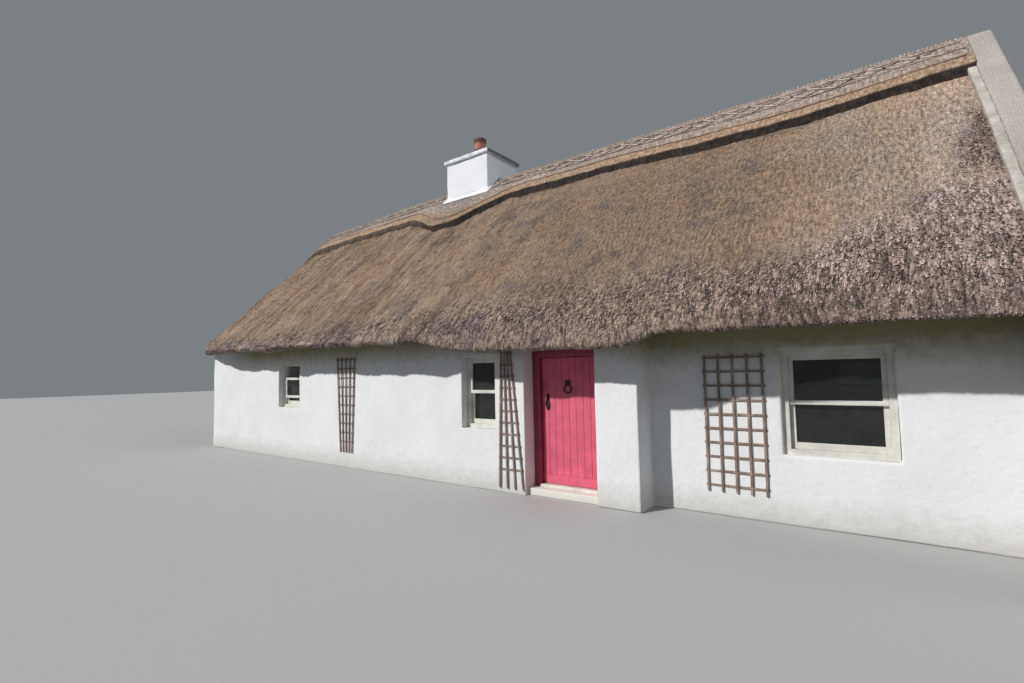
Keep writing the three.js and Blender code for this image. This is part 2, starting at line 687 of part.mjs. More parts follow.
function latch(face) {
  const x = LEAF_X0 + LATCH.fromEdge;
  const plate = box(
    [x - LATCH.width / 2, face - LATCH.thickness, LATCH.z0],
    [x + LATCH.width / 2, face, LATCH.z1],
  );
  const root = face - LATCH.thickness / 2;
  const bow = new THREE.CubicBezierCurve3(
    new THREE.Vector3(x, root, GRIP.z0),
    new THREE.Vector3(x, root - (4 / 3) * GRIP.reach, GRIP.z0 + GRIP.radius),
    new THREE.Vector3(x, root - (4 / 3) * GRIP.reach, GRIP.z1 - GRIP.radius),
    new THREE.Vector3(x, root, GRIP.z1),
  );
  const thumbPiece = box(
    [x - THUMB_PIECE.width / 2, face - THUMB_PIECE.reach, THUMB_PIECE.z],
    [x + THUMB_PIECE.width / 2, root, THUMB_PIECE.z + THUMB_PIECE.thickness],
  );
  return plate.add(bentBar(bow, GRIP.radius, 12)).add(thumbPiece);
}

function knocker(face) {
  const { x, bossReach } = KNOCKER;
  const bossHeight = KNOCKER.z + KNOCKER.bossHeight;
  const boss = rod([x, face, bossHeight], [x, face - bossReach, bossHeight], KNOCKER.boss, 16);
  const ring = new THREE.TorusGeometry(KNOCKER.ring, KNOCKER.bar, 8, 24);
  ring.rotateX(Math.PI / 2);
  ring.translate(x, face - bossReach / 2, KNOCKER.z);
  return boss.add(toSolid(ring));
}

// One strap on the leaf with its eye, turning on a pintle fixed to the jamb
function addHinge(place, height) {
  const low = height - STRAP_WIDTH / 2;
  const high = height + STRAP_WIDTH / 2;
  const strapFace = LEAF_BACK + GAP;
  const bar = box([LEAF_X1 - STRAP_LENGTH, strapFace, low], [PIN_X, strapFace + STRAP_THICKNESS, high]);
  const eye = rod([PIN_X, PIN_Y, low], [PIN_X, PIN_Y, high], EYE_RADIUS, 20);
  const bore = rod([PIN_X, PIN_Y, low - 10], [PIN_X, PIN_Y, high + 10], PIN_RADIUS + GAP, 20);
  addPart(`door_strap_${place}`, bar.add(eye).subtract(bore), 'blackIron');
  const shelf = low - GAP;
  const pinFoot = shelf - PINTLE_PIN.below;
  const pin = rod([PIN_X, PIN_Y, pinFoot], [PIN_X, PIN_Y, high + PINTLE_PIN.above], PIN_RADIUS, 20);
  const plateBack = FRAME_BACK + GAP;
  const plate = box(
    [PIN_X - PINTLE_PLATE.lap, plateBack, shelf - PINTLE_PLATE.drop],
    [PIN_X + PINTLE_PLATE.width, plateBack + PINTLE_PLATE.thickness, pinFoot],
  );
  const arm = box(
    [PIN_X - PINTLE_ARM.half, plateBack, shelf - PINTLE_ARM.height],
    [PIN_X + PINTLE_ARM.toJamb, PIN_Y + PINTLE_ARM.half, shelf],
  );
  addPart(`door_pintle_${place}`, plate.add(arm).add(pin), 'blackIron');
}

// Flat lath lattice against the front wall: uprights from foot to head, crossed by level laths
function lattice({ foot, head, uprights, z0, z1, laths, behindStep }) {
  const back = -HALF_DEPTH + (behindStep ? STEP_BACK.depth : 0) - GAP;
  const half = LATH.width / 2;
  const headX = evenly(...head, uprights);
  const bars = evenly(...foot, uprights).map((x, i) => {
    const outline = [[x - half, z0], [x + half, z0], [headX[i] + half, z1], [headX[i] - half, z1]];
    const shape = new THREE.Shape(outline.map(([across, z]) => new THREE.Vector2(across, z)));
    const geometry = new THREE.ExtrudeGeometry(shape, { depth: LATH.depth, bevelEnabled: false });
    geometry.rotateX(Math.PI / 2);
    geometry.translate(0, back - LATH.depth + 1, 0);
    return toSolid(geometry);
  });
  const leanAt = (side, z) => foot[side] + ((head[side] - foot[side]) * (z - z0)) / (z1 - z0);
  const cross = evenly(...laths).map((z) => box(
    [leanAt(0, z) - LATH.overrun, back - LATH.depth, z - half],
    [leanAt(1, z) + LATH.overrun, back, z + half],
  ));
  return [...bars, ...cross].reduce((sum, part) => sum.add(part));
}

addMasonry();
addRoof();
addDoorway();
addDoorLeaf();
FRONT_WINDOWS.forEach((opening) => addWindow(-1, opening, false));
BACK_WINDOWS.forEach((opening) => addWindow(1, opening, true));
TRELLISES.forEach((trellis) => addPart(trellis.name, lattice(trellis), 'weatheredWood'));

export default cottage;
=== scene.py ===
# Thatched cottage: the finish of every surface, round a fixed frame of walls, roof, chimney and openings.
import bmesh
import bpy
import itertools
import math
import numpy as np
from mathutils import Matrix, Vector


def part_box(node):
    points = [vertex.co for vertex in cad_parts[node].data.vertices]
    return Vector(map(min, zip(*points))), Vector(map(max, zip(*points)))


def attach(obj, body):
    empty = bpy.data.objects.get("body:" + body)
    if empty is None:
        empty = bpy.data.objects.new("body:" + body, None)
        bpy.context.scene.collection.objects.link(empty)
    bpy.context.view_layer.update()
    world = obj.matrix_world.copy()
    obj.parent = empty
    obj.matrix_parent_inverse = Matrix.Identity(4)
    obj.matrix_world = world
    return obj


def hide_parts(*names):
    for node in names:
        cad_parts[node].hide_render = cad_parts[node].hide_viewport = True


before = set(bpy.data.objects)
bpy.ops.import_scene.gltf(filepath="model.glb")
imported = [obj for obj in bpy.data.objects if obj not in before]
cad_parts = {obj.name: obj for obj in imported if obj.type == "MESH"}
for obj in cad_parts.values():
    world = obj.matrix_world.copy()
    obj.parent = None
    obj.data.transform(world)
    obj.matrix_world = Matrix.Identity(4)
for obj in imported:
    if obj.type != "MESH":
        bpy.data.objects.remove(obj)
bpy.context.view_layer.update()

SCENE = bpy.context.scene
RANDOM = np.random.default_rng(7)
STACK_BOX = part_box("chimney_stack")
FLAUNCHING_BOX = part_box("chimney_flaunching")

# Roof: x runs along the house and d is the level distance from the ridge line, in metres
ROOF_X0 = -6.9
ROOF_X1 = 6.6697
VERGE_ROUND = 0.9
VERGE_DROP = 0.26
CORNER_LENGTH = 1.3
CORNER_POWER = 1.3
CORNER_SET_BACK = 0.45
CORNER_DROP = 0.28
SHOULDER_DISTANCE = 3.0
SHOULDER_HEIGHT = 2.54
NOSE_DISTANCE = 3.45
NOSE_SLOPE = 0.94
NOSE_SWELL = 0.08
NOSE_TRIM = 0.11
RIDGE_HEIGHT = 5.36
RIDGE_SAG = 0.13
BELLY = 0.05
EAVES_HEIGHT = 1.965
EAVES_FALL = 0.0175
EAVES_DIP = 0.13
LIP = 0.05
WALL_FACE = 2.9
WALL_HEAD = 2.098
INNER_APEX = 4.8994
BLOCK_X0 = -6.82
BLOCK_REACH = 0.68
BLOCK_NARROWING = 0.08
BLOCK_WAVE = 0.16
WAVE_CENTRE = 4.6
WAVE_HALF_WIDTH = 2.6
BLOCK_CROWN = 0.2
BLOCK_THICKNESS = 0.15
BLOCK_TAPER = 0.6
APRON_REACH = 0.5
APRON_HALF_WIDTH = 1.5
APRON_CENTRE = -1.155


def smooth(low, high, value):
    t = np.clip((value - low) / (high - low), 0.0, 1.0)
    return t * t * (3.0 - 2.0 * t)


def verge_share(x):
    """How far the left end of the roof has rounded down: 0 away from it, 1 at the verge."""
    t = np.clip((ROOF_X0 + VERGE_ROUND - x) / VERGE_ROUND, 0.0, 1.0)
    return 1.0 - np.sqrt(1.0 - t * t)


def corner_share(x):
    return np.clip((ROOF_X0 + CORNER_LENGTH - x) / CORNER_LENGTH, 0.0, 1.0) ** CORNER_POWER


def eaves_dip(x):
    return EAVES_DIP * smooth(0.5, 1.4, x) * (1.0 - smooth(3.55, 4.05, x))


def eaves_height(x):
    return EAVES_HEIGHT - EAVES_FALL * x - eaves_dip(x)


def nose_distance(x):
    swell = NOSE_SWELL * smooth(-4.6, -3.2, x) * (1.0 - smooth(0.3, 1.5, x))
    trim = NOSE_TRIM * smooth(3.5, 5.5, x)
    return NOSE_DISTANCE + swell - trim - CORNER_SET_BACK * corner_share(x)


def skin_ridge(x):
    return RIDGE_HEIGHT - RIDGE_SAG * (1.0 - smooth(-6.1, -2.4, x)) - VERGE_DROP * verge_share(x)


def skin_height(x, d):
    shoulder = SHOULDER_HEIGHT - 0.4 * eaves_dip(x) - CORNER_DROP * corner_share(x)
    share = d / SHOULDER_DISTANCE
    ridge = skin_ridge(x)
    return ridge + (shoulder - ridge) * share + BELLY * np.sin(np.pi * np.minimum(share, 1.0))


def swelling(x, centre, half_width):
    """Share of a rounded swelling: 1 at its centre, 0 beyond its half width."""
    return 0.5 + 0.5 * np.cos(np.pi * np.minimum(np.abs(x - centre) / half_width, 1.0))


def plain_edge(x):
    """Distance from the ridge line to the block ridge's cut edge, without the apron round the chimney."""
    narrowing = BLOCK_NARROWING * (1.0 - smooth(-4.8, -3.2, x))
    return BLOCK_REACH - narrowing + BLOCK_WAVE * swelling(x, WAVE_CENTRE, WAVE_HALF_WIDTH)


def block_edge(x):
    return plain_edge(x) + APRON_REACH * swelling(x, APRON_CENTRE, APRON_HALF_WIDTH)


def block_height(x, d):
    full = 0.4 + 0.6 * smooth(BLOCK_X0, BLOCK_X0 + BLOCK_TAPER, x)
    crown = skin_ridge(x) + BLOCK_CROWN * full - 0.05 * verge_share(x)
    foot = skin_height(x, BLOCK_REACH) + BLOCK_THICKNESS * full
    near = crown + (foot - crown) * d / BLOCK_REACH
    return np.where(d > BLOCK_REACH, skin_height(x, d) + BLOCK_THICKNESS * full, near)


def lattice(seed, cells):
    """Repeatable values from 0 to 1, one for each whole-numbered cell."""
    mixed = np.full(cells[0].shape, seed * 7919 + 17, dtype=np.uint32)
    for factor, cell in zip((668265263, 2246822519, 3266489917), cells):
        mixed = mixed ^ (cell.astype(np.int64).astype(np.uint32) * np.uint32(factor))
        mixed = (mixed ^ (mixed >> np.uint32(15))) * np.uint32(2654435761)
    return (mixed ^ (mixed >> np.uint32(16))) / 4294967295.0


def noise(seed, *coordinates):
    """Smooth noise from -1 to 1 over any number of coordinates."""
    coordinates = np.broadcast_arrays(*coordinates)
    cells = [np.floor(c) for c in coordinates]
    shares = [smooth(0.0, 1.0, c - cell) for c, cell in zip(coordinates, cells)]
    total = np.zeros(coordinates[0].shape)
    for corner in itertools.product((0, 1), repeat=len(cells)):
        weight = np.ones(total.shape)
        for bit, share in zip(corner, shares):
            weight = weight * (share if bit else 1.0 - share)
        total = total + weight * lattice(seed, [cell + bit for cell, bit in zip(cells, corner)])
    return 2.0 * total - 1.0


def layered(seed, octaves, *coordinates):
    """Several octaves of the smooth noise, each at twice the detail and half the height."""
    total = 0.0
    for octave in range(octaves):
        scale = 2.0 ** octave
        total = total + noise(seed + octave, *[c * scale for c in coordinates]) / scale
    return total


# Materials
class Wire:
    """One output in a material's node tree, with plain arithmetic on it."""

    def __init__(self, tree, socket):
        self.tree = tree
        self.socket = socket

    def __add__(self, other):
        return maths("ADD", self, other)

    def __sub__(self, other):
        return maths("SUBTRACT", self, other)

    def __rsub__(self, other):
        return maths("SUBTRACT", other, self)

    def __mul__(self, other):
        return maths("MULTIPLY", self, other)


def node(tree, kind, inputs=(), **settings):
    """The outputs of a new node; each of its inputs is a plain value or another node's wire."""
    made = tree.nodes.new("ShaderNode" + kind)
    for name, value in settings.items():
        setattr(made, name, value)
    sockets = {socket.identifier: socket for socket in made.inputs}
    for name, value in dict(inputs).items():
        if isinstance(value, Wire):
            tree.links.new(value.socket, sockets[name])
        else:
            sockets[name].default_value = value
    return {socket.identifier: Wire(tree, socket) for socket in made.outputs}


def maths(operation, a, b=0.5):
    tree = (a if isinstance(a, Wire) else b).tree
    return node(tree, "Math", {"Value": a, "Value_001": b}, operation=operation)["Value"]


def begin(name, roughness, values=()):
    """A new material with plain values on the shader's own sockets, and the place its nodes start from."""
    material = bpy.data.materials.new(name)
    material.use_nodes = True
    sockets = material.node_tree.nodes["Principled BSDF"].inputs
    for socket, value in {"Roughness": roughness, **dict(values)}.items():
        sockets[socket].default_value = value
    return material, node(material.node_tree, "TexCoord")["Object"]


def finish(material, colour, *heights, roughness=None):
    """Links the colour, and bump from (height, distance in metres) pairs, each laid on the one before."""
    tree = material.node_tree
    sockets = tree.nodes["Principled BSDF"].inputs
    tree.links.new(colour.socket, sockets["Base Color"])
    if roughness is not None:
        tree.links.new(roughness.socket, sockets["Roughness"])
    bump = {"Strength": 1.0}
    for height, distance in heights:
        bump["Normal"] = node(tree, "Bump", {**bump, "Height": height, "Distance": distance})["Normal"]
    tree.links.new(bump["Normal"].socket, sockets["Normal"])
    return material


def stretched(vector, *scale):
    return node(vector.tree, "Mapping", {"Vector": vector, "Scale": scale})["Vector"]


def cloud(vector, scale, detail=3.0, rough=0.55):
    inputs = {"Vector": vector, "Scale": scale, "Detail": detail, "Roughness": rough}
    return node(vector.tree, "TexNoise", inputs)["Fac"]


def drawn_out(flat, along, scale, detail=3.0, rough=0.55):
    """A cloud on straw, drawn out down the slope."""
    return cloud(stretched(flat, 1.0, along, 1.0), scale, detail, rough)


def cells(vector, scale, dimensions="3D"):
    """Distance from the middle of each cell, and a random value from 0 to 1 for the cell."""
    inputs = {"Vector": vector, "Scale": scale}
    made = node(vector.tree, "TexVoronoi", inputs, voronoi_dimensions=dimensions)
    return made["Distance"], node(vector.tree, "SeparateColor", {"Color": made["Color"]})["Red"]


def axes(vector):
    return node(vector.tree, "SeparateXYZ", {"Vector": vector})


def painted(place, name):
    """The three values that a mesh carries at each point under a name."""
    return axes(node(place.tree, "Attribute", attribute_name=name)["Vector"])


def straw_place(place):
    """The values painted on straw, and a flat place made from the first two."""
    straw = painted(place, "straw")
    return straw, node(place.tree, "CombineXYZ", {"X": straw["X"], "Y": straw["Y"]})["Vector"]


def fraction(value, low, high, top=1.0, bottom=0.0):
    """How far the value is from low to high, as a number from the bottom to the top."""
    inputs = {"Value": value, "From Min": low, "From Max": high, "To Min": bottom, "To Max": top}
    return node(value.tree, "MapRange", inputs)["Result"]


def opaque(colour):
    """A colour with its alpha, from three numbers, or from one for a grey."""
    return (*(colour if isinstance(colour, tuple) else (colour,) * 3), 1.0)


def ramp(factor, *stops):
    """Colours between stops of (place, colour)."""
    colour = node(factor.tree, "ValToRGB", {"Fac": factor})["Color"]
    points = colour.socket.node.color_ramp.elements
    while len(points) < len(stops):
        points.new(0.5)
    for point, (place, shade) in zip(points, stops):
        point.position = place
        point.color = opaque(shade)
    return colour


def mix(factor, a, b, blend="MIX"):
    tree = next(value.tree for value in (factor, a, b) if isinstance(value, Wire))
    a, b = [value if isinstance(value, Wire) else opaque(value) for value in (a, b)]
    inputs = {"Factor_Float": factor, "A_Color": a, "B_Color": b}
    return node(tree, "Mix", inputs, data_type="RGBA", blend_type=blend)["Result_Color"]


def multiplied(colour, shade):
    return mix(1.0, colour, shade, "MULTIPLY")


def times(factor, colour, tint):
    """The colour, tinted by a share of the factor."""
    return mix(factor, colour, multiplied(colour, tint))


def straw_material(name):
    """Straw coat: combed locks with fine streaks, or rough ends in bundles with painted shade in the gaps
    between them.
    """
    material, place = begin(name, 0.88)
    straw, flat = straw_place(place)
    coat = painted(place, "coat")
    reach, bundle_lot = cells(stretched(flat, 1.0, 0.34, 1.0), 42.0, "2D")
    _, end_lot = cells(stretched(flat, 1.0, 0.4, 1.0), 120.0, "2D")
    combing = drawn_out(flat, 0.14, 22.0, 4.0, 0.65)
    stipple = drawn_out(flat, 0.35, 30.0, 5.0, 0.8)
    locks = mix(fraction(straw["X"], 3.0, -0.5, 0.6), stipple, combing)
    streaks = drawn_out(flat, 0.08, 110.0, 3.0, 0.6)
    patches = drawn_out(flat, 0.6, 1.1, 5.0, 0.6)
    fibres = drawn_out(flat, 0.08, 300.0, 2.0)
    laid = straw["Z"] * 0.5
    tone = laid + (locks - 0.5) * 2.4 + (streaks - 0.5) * 0.6 + 0.2
    combed = ramp(tone, (0.12, (0.07, 0.046, 0.036)), (0.46, (0.25, 0.17, 0.116)),
                  (0.85, (0.45, 0.325, 0.23)))
    tone = laid + bundle_lot * 0.32 + end_lot * 0.16 + (fibres - 0.5) * 0.25
    rough = ramp(tone, (0.14, (0.05, 0.033, 0.026)), (0.46, (0.27, 0.188, 0.152)),
                 (0.82, (0.64, 0.485, 0.395)))
    # Painted shade: the rough ends darken towards the edge of each bundle, in the gaps between them.
    rough = multiplied(rough, ramp(reach, (0.4, 1.0), (0.78, 0.3)))
    combed = times(ramp(patches, (0.46, 0.0), (0.62, 0.7)), combed, (1.1, 1.0, 0.84))
    colour = mix(coat["X"], combed, rough)
    colour = times(coat["Y"], colour, (1.7, 1.9, 2.2))
    colour = times(coat["Z"] * 0.8, colour, (0.64, 0.67, 0.8))
    height = mix(coat["X"], locks, 1.0 - reach)
    return finish(material, colour, (height, 0.009), (streaks, 0.003), (fibres, 0.0015))


def ridge_material(name):
    """Straw of the block ridge: streaks down the slope, grey above and golden below, and a cut face darkened
    as painted shade.
    """
    material, place = begin(name, 0.8)
    straw, flat = straw_place(place)
    streaks = drawn_out(flat, 0.12, 150.0, 3.0, 0.6)
    bands = drawn_out(flat, 0.3, 26.0, 4.0, 0.7)
    wide = drawn_out(flat, 0.7, 9.0, 5.0, 0.65)
    tone = streaks * 0.4 + bands * 0.6
    upper = ramp(tone, (0.36, (0.12, 0.085, 0.07)), (0.5, (0.36, 0.285, 0.25)), (0.6, (0.68, 0.58, 0.53)))
    lower = ramp(tone, (0.36, (0.13, 0.075, 0.042)), (0.5, (0.39, 0.262, 0.17)), (0.6, (0.68, 0.5, 0.36)))
    level = painted(place, "course")["X"] + wide * 0.16
    colour = mix(ramp(level, (0.72, 0.0), (0.84, 1.0)), upper, lower)
    colour = times(ramp(wide, (0.42, 0.0), (0.6, 0.7)), colour, (0.68, 0.62, 0.58))
    shade = ramp(straw["Z"], (0.0, (0.03, 0.018, 0.01)), (1.0, 1.0))
    return finish(material, multiplied(colour, shade), (wide, 0.02), (bands, 0.014), (streaks, 0.005))


def stick_material(name, dark, light):
    material, place = begin(name, 0.7)
    colour = ramp(cloud(place, 22.0), (0.3, dark), (0.7, light))
    return finish(material, colour, (cloud(place, 240.0, 2.0), 0.002))


def plaster_material(name, pale, dull, stain, eaves_shade_tint=None):
    """Brushed limewash: uneven coats, faint stains low down, painted shade with an olive tint under the
    eaves, brush marks.
    """
    material, place = begin(name, 0.9)
    at = axes(place)
    spots = cloud(place, 11.0, 4.0, 0.65)
    colour = ramp(cloud(place, 1.6, 5.0, 0.6), (0.3, dull), (0.62, pale))
    colour = mix(ramp(spots, (0.62, 0.0), (0.8, 0.35)), colour, stain)
    colour = mix(ramp(at["Z"] + spots * 0.35, (0.2, 0.6), (0.5, 0.0)), colour, stain)
    # Painted shade: an olive-tinted darkening near the wall head under the eaves, reaching lower where the
    # wall is set back at the right.
    if eaves_shade_tint:
        set_back = fraction(at["X"], 3.0, 3.6, 0.17)
        share = fraction(at["Z"] - spots * 0.3 + set_back, 1.54, 1.85)
        away_from_corner = fraction(at["X"], -6.2, -4.8)
        colour = times(share * away_from_corner, colour, eaves_shade_tint)
    brush = cloud(stretched(place, 0.35, 0.35, 1.0), 90.0)
    return finish(material, colour, (cloud(place, 14.0), 0.006), (brush, 0.0015))


def roughcast_material(name):
    """Stones thrown on wet render: round grains in beige and grey, with painted shade in the hollows between
    them.
    """
    material, place = begin(name, 0.92)
    reach, _ = cells(place, 85.0)
    colour = ramp(cloud(place, 0.8, 4.0), (0.35, (0.5, 0.44, 0.39)), (0.65, (0.67, 0.6, 0.54)))
    # Painted shade: darker towards the edge of each grain.
    shade_between_grains = ramp(reach, (0.2, 1.0), (0.75, 0.62))
    return finish(material, multiplied(colour, shade_between_grains), (1.0 - reach, 0.007))


def cement_material(name, light, dark, moss, soot_and_side_shade=None):
    """Weathered cement: pale and dark blotches, a little moss, sandy grain, and the side towards +X darkened
    as painted shade in a sooty colour.
    """
    material, place = begin(name, 0.93)
    blotches = cloud(place, 7.0, 6.0, 0.65)
    colour = ramp(blotches, (0.34, dark), (0.6, light))
    colour = mix(ramp(cloud(place, 3.2, 4.0, 0.6), (0.55, 0.0), (0.75, 0.55)), colour, moss)
    # Painted shade: faces turned towards +X are darkened with a sooty colour.
    if soot_and_side_shade:
        side = axes(node(place.tree, "NewGeometry")["Normal"])["X"] + (blotches - 0.5) * 0.8
        colour = mix(ramp(side, (0.35, 0.0), (0.7, 0.85)), colour, soot_and_side_shade)
    return finish(material, colour, (blotches, 0.006), (cloud(place, 160.0, 2.0), 0.002))


def clay_material(name):
    """Fired clay: orange to brown streaks, a sooty top and a dark ring below it."""
    soot_from, soot_to, ring_height = 6.5, 6.56, 6.333
    material, place = begin(name, 0.8)
    height = axes(place)["Z"]
    streaks = cloud(stretched(place, 1.0, 1.0, 0.25), 30.0, 4.0)
    colour = ramp(streaks, (0.3, (0.3, 0.1, 0.07)), (0.55, (0.47, 0.17, 0.13)), (0.8, (0.6, 0.3, 0.25)))
    soot_and_side_shade = fraction(height + streaks * 0.06, soot_from, soot_to)
    colour = mix(soot_and_side_shade * 0.85, colour, (0.07, 0.045, 0.04))
    ring = fraction(maths("ABSOLUTE", height - ring_height), 0.03, 0.012)
    colour = mix(ring * 0.8, colour, (0.09, 0.05, 0.04))
    return finish(material, colour, (streaks, 0.002), (cloud(place, 220.0, 2.0), 0.001))


def paint_material(name, colour, worn, roughness, coat=0.0):
    """Brushed paint on wood: upright grain under it, dulled patches and a few chips."""
    material, place = begin(name, roughness, {"Coat Weight": coat})
    grain = cloud(stretched(place, 1.0, 1.0, 0.06), 130.0, 4.0, 0.6)
    dulled = cloud(place, 5.0, 5.0, 0.6)
    chips = cloud(place, 38.0, 5.0, 0.7)
    dark = tuple(0.72 * c for c in colour)
    base = ramp(dulled, (0.3, dark), (0.62, colour))
    base = mix(ramp(grain, (0.25, 0.35), (0.5, 0.0)), base, dark)
    base = mix(ramp(chips, (0.68, 0.0), (0.76, 0.8)), base, worn)
    rough = fraction(dulled, 0.0, 1.0, roughness + 0.15, roughness - 0.08)
    return finish(material, base, (grain, 0.0012), (dulled, 0.0015), roughness=rough)


def iron_material(name):
    material, place = begin(name, 0.45, {"Metallic": 0.6})
    rust = cloud(place, 30.0, 4.0)
    colour = ramp(rust, (0.5, (0.018, 0.017, 0.017)), (0.75, (0.06, 0.035, 0.025)))
    return finish(material, colour, (cloud(place, 160.0), 0.0008))


def wood_material(name):
    """Dark weathered laths: upright grain, paler where the rain has washed them."""
    material, place = begin(name, 0.85)
    grain = cloud(stretched(place, 1.0, 1.0, 0.12), 190.0, 4.0, 0.65)
    colour = ramp(grain, (0.3, (0.1, 0.07, 0.055)), (0.7, (0.38, 0.275, 0.215)))
    washed = ramp(cloud(place, 9.0, 4.0), (0.5, 0.0), (0.72, 0.6))
    return finish(material, mix(washed, colour, (0.58, 0.45, 0.37)), (grain, 0.002))


def glass_material(name):
    """Old window glass: tinted dark, as painted shade of the dim room behind it, with a faint wave and a
    little dust.
    """
    material, place = begin(name, 0.03, {"Transmission Weight": 0.9, "IOR": 1.45})
    dust = cloud(place, 6.0, 5.0, 0.65)
    # Painted shade: the dark tint stands for the dim room seen through the glass.
    colour = ramp(dust, (0.35, (0.11, 0.125, 0.12)), (0.75, (0.2, 0.215, 0.21)))
    return finish(material, colour, (cloud(place, 2.5, 2.0), 0.002))


def flagstone_material(name):
    material, place = begin(name, 0.75)
    blotches = cloud(place, 6.0, 5.0, 0.6)
    colour = ramp(blotches, (0.35, (0.13, 0.12, 0.105)), (0.65, (0.25, 0.23, 0.2)))
    shade = ramp(painted(place, "straw")["Z"], (0.0, 0.6), (1.0, 1.15))
    return finish(material, multiplied(colour, shade), (blotches, 0.008), (cloud(place, 120.0), 0.002))


FINISHES = {
    "thatch": (straw_material,),
    "ridge_straw": (ridge_material,),
    "spar": (stick_material, (0.44, 0.36, 0.28), (0.8, 0.73, 0.62)),
    "grey_spar": (stick_material, (0.09, 0.08, 0.075), (0.25, 0.21, 0.18)),
    "knuckle": (stick_material, (0.24, 0.17, 0.12), (0.68, 0.57, 0.45)),
    "ligger": (stick_material, (0.075, 0.04, 0.026), (0.2, 0.12, 0.08)),
    # The limewash's last colour is the painted shade under the eaves.
    "limewash": (plaster_material, 0.86, (0.78, 0.785, 0.79), (0.5, 0.47, 0.41), (0.45, 0.41, 0.22)),
    "gable_wash": (plaster_material, 0.86, (0.76, 0.765, 0.77), (0.5, 0.47, 0.41)),
    "stack_wash": (plaster_material, (0.88, 0.89, 0.92), (0.83, 0.84, 0.87), (0.55, 0.53, 0.48)),
    "step_wash": (plaster_material, (0.88, 0.86, 0.81), (0.8, 0.77, 0.71), (0.78, 0.73, 0.65)),
    "party_render": (roughcast_material,),
    "cement": (cement_material, (0.56, 0.53, 0.48), (0.36, 0.33, 0.28), (0.2, 0.21, 0.15)),
    # The cap's last colour is painted shade, sooty in colour, on its side towards +X.
    "cap_cement": (cement_material, (0.92, 0.96, 1.0), (0.62, 0.65, 0.68), (0.25, 0.27, 0.24),
                   (0.11, 0.1, 0.085)),
    "clay": (clay_material,),
    "door_paint": (paint_material, (0.8, 0.128, 0.215), (0.36, 0.05, 0.08), 0.42, 0.15),
    "frame_paint": (paint_material, (0.35, 0.04, 0.082), (0.13, 0.04, 0.045), 0.4, 0.1),
    "cream_paint": (paint_material, (0.78, 0.76, 0.69), (0.5, 0.46, 0.38), 0.5),
    "glass": (glass_material,),
    "black_iron": (iron_material,),
    "weathered_wood": (wood_material,),
    "flagstone": (flagstone_material,),
}
MATERIALS = {name: build(name, *values) for name, (build, *values) in FINISHES.items()}
SLOT_OF = {**dict.fromkeys(("spar", "grey_spar", "knuckle", "ligger"), "ridge_straw"),
           **dict.fromkeys(("gable_wash", "stack_wash", "step_wash"), "limewash"), "cap_cement": "cement"}


# Mesh building
def add_piece(name, mesh, material, body="house", replaced=()):
    """Links a mesh as a piece of the model, with its material, its body and the nodes it stands for."""
    mesh.materials.clear()
    mesh.materials.append(MATERIALS[material])
    piece = bpy.data.objects.new(name, mesh)
    SCENE.collection.objects.link(piece)
    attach(piece, body)
    if replaced:
        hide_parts(*replaced)


def paint(mesh, name, values):
    """Gives each point of the mesh three values, which its material reads by the name."""
    layer = mesh.attributes.new(name, "FLOAT_VECTOR", "POINT")
    layer.data.foreach_set("vector", np.ascontiguousarray(values, dtype=np.float32).ravel())


def mesh_from_arrays(name, points, faces, straw=None, rounded=True):
    """A mesh from points and faces of one kind; straw gives each point its (x, way down the slope, tone)."""
    mesh = bpy.data.meshes.new(name)
    count, corners = faces.shape
    mesh.vertices.add(len(points))
    mesh.vertices.foreach_set("co", np.ascontiguousarray(points, dtype=np.float32).ravel())
    mesh.loops.add(count * corners)
    mesh.loops.foreach_set("vertex_index", np.ascontiguousarray(faces, dtype=np.int32).ravel())
    mesh.polygons.add(count)
    mesh.polygons.foreach_set("loop_start", np.arange(0, count * corners, corners, dtype=np.int32))
    mesh.polygons.foreach_set("use_smooth", np.full(count, rounded))
    mesh.update(calc_edges=True)
    if straw is not None:
        paint(mesh, "straw", straw)
        paint(mesh, "coat", coat_shares(straw[:, 0], straw[:, 1]))
    return mesh


def grid_faces(rows, columns, flip):
    index = np.arange(rows * columns).reshape(rows, columns)
    quads = np.stack([index[:-1, :-1], index[1:, :-1], index[1:, 1:], index[:-1, 1:]], axis=-1).reshape(-1, 4)
    return quads[:, ::-1] if flip else quads


def outside(box, x, y):
    """How far points lie outside a box seen from above, below 0 for those inside it."""
    low, high = box
    return np.maximum.reduce([low.x - x, x - high.x, low.y - y, y - high.y])


def grid_mesh(name, surface, straw, flip):
    """A mesh of a grid of points, open within the chimney's masonry, with its three straw values."""
    hidden_margin = 0.06
    points = surface.reshape(-1, 3)
    faces = grid_faces(*surface.shape[:2], flip)
    x, y, _ = points[faces].mean(axis=1).T
    faces = faces[outside(STACK_BOX, x, y) >= -hidden_margin]
    values = np.stack(np.broadcast_arrays(*straw), axis=-1).reshape(-1, 3)
    return mesh_from_arrays(name, points, faces, values)


def between(outer, inner, count):
    """A grid of points from one edge across to another."""
    t = np.linspace(0.0, 1.0, count)[None, :, None]
    return outer[:, None, :] * (1 - t) + inner[:, None, :] * t


def joined(parts):
    """Points and faces of several (points, faces) pairs as one pair."""
    points, faces, start = [], [], 0
    for some_points, some_faces in parts:
        points.append(some_points)
        faces.append(some_faces + start)
        start += len(some_points)
    return np.concatenate(points), np.concatenate(faces)


def unit(vectors):
    return vectors / np.maximum(np.linalg.norm(vectors, axis=-1, keepdims=True), 1e-9)


def outward(surface, side):
    """Unit normals of a grid whose rows run down the slope and whose columns run along the house."""
    return unit(np.cross(np.gradient(surface, axis=0), np.gradient(surface, axis=1))) * -side


def roof_points(x, d, z, side):
    """Points of one side of the roof: -1 is the front and 1 the back."""
    return np.stack(np.broadcast_arrays(x, side * d, z), axis=-1)


def curve3(a, b, c, t):
    return a * (1 - t) ** 2 + 2 * b * t * (1 - t) + c * t * t


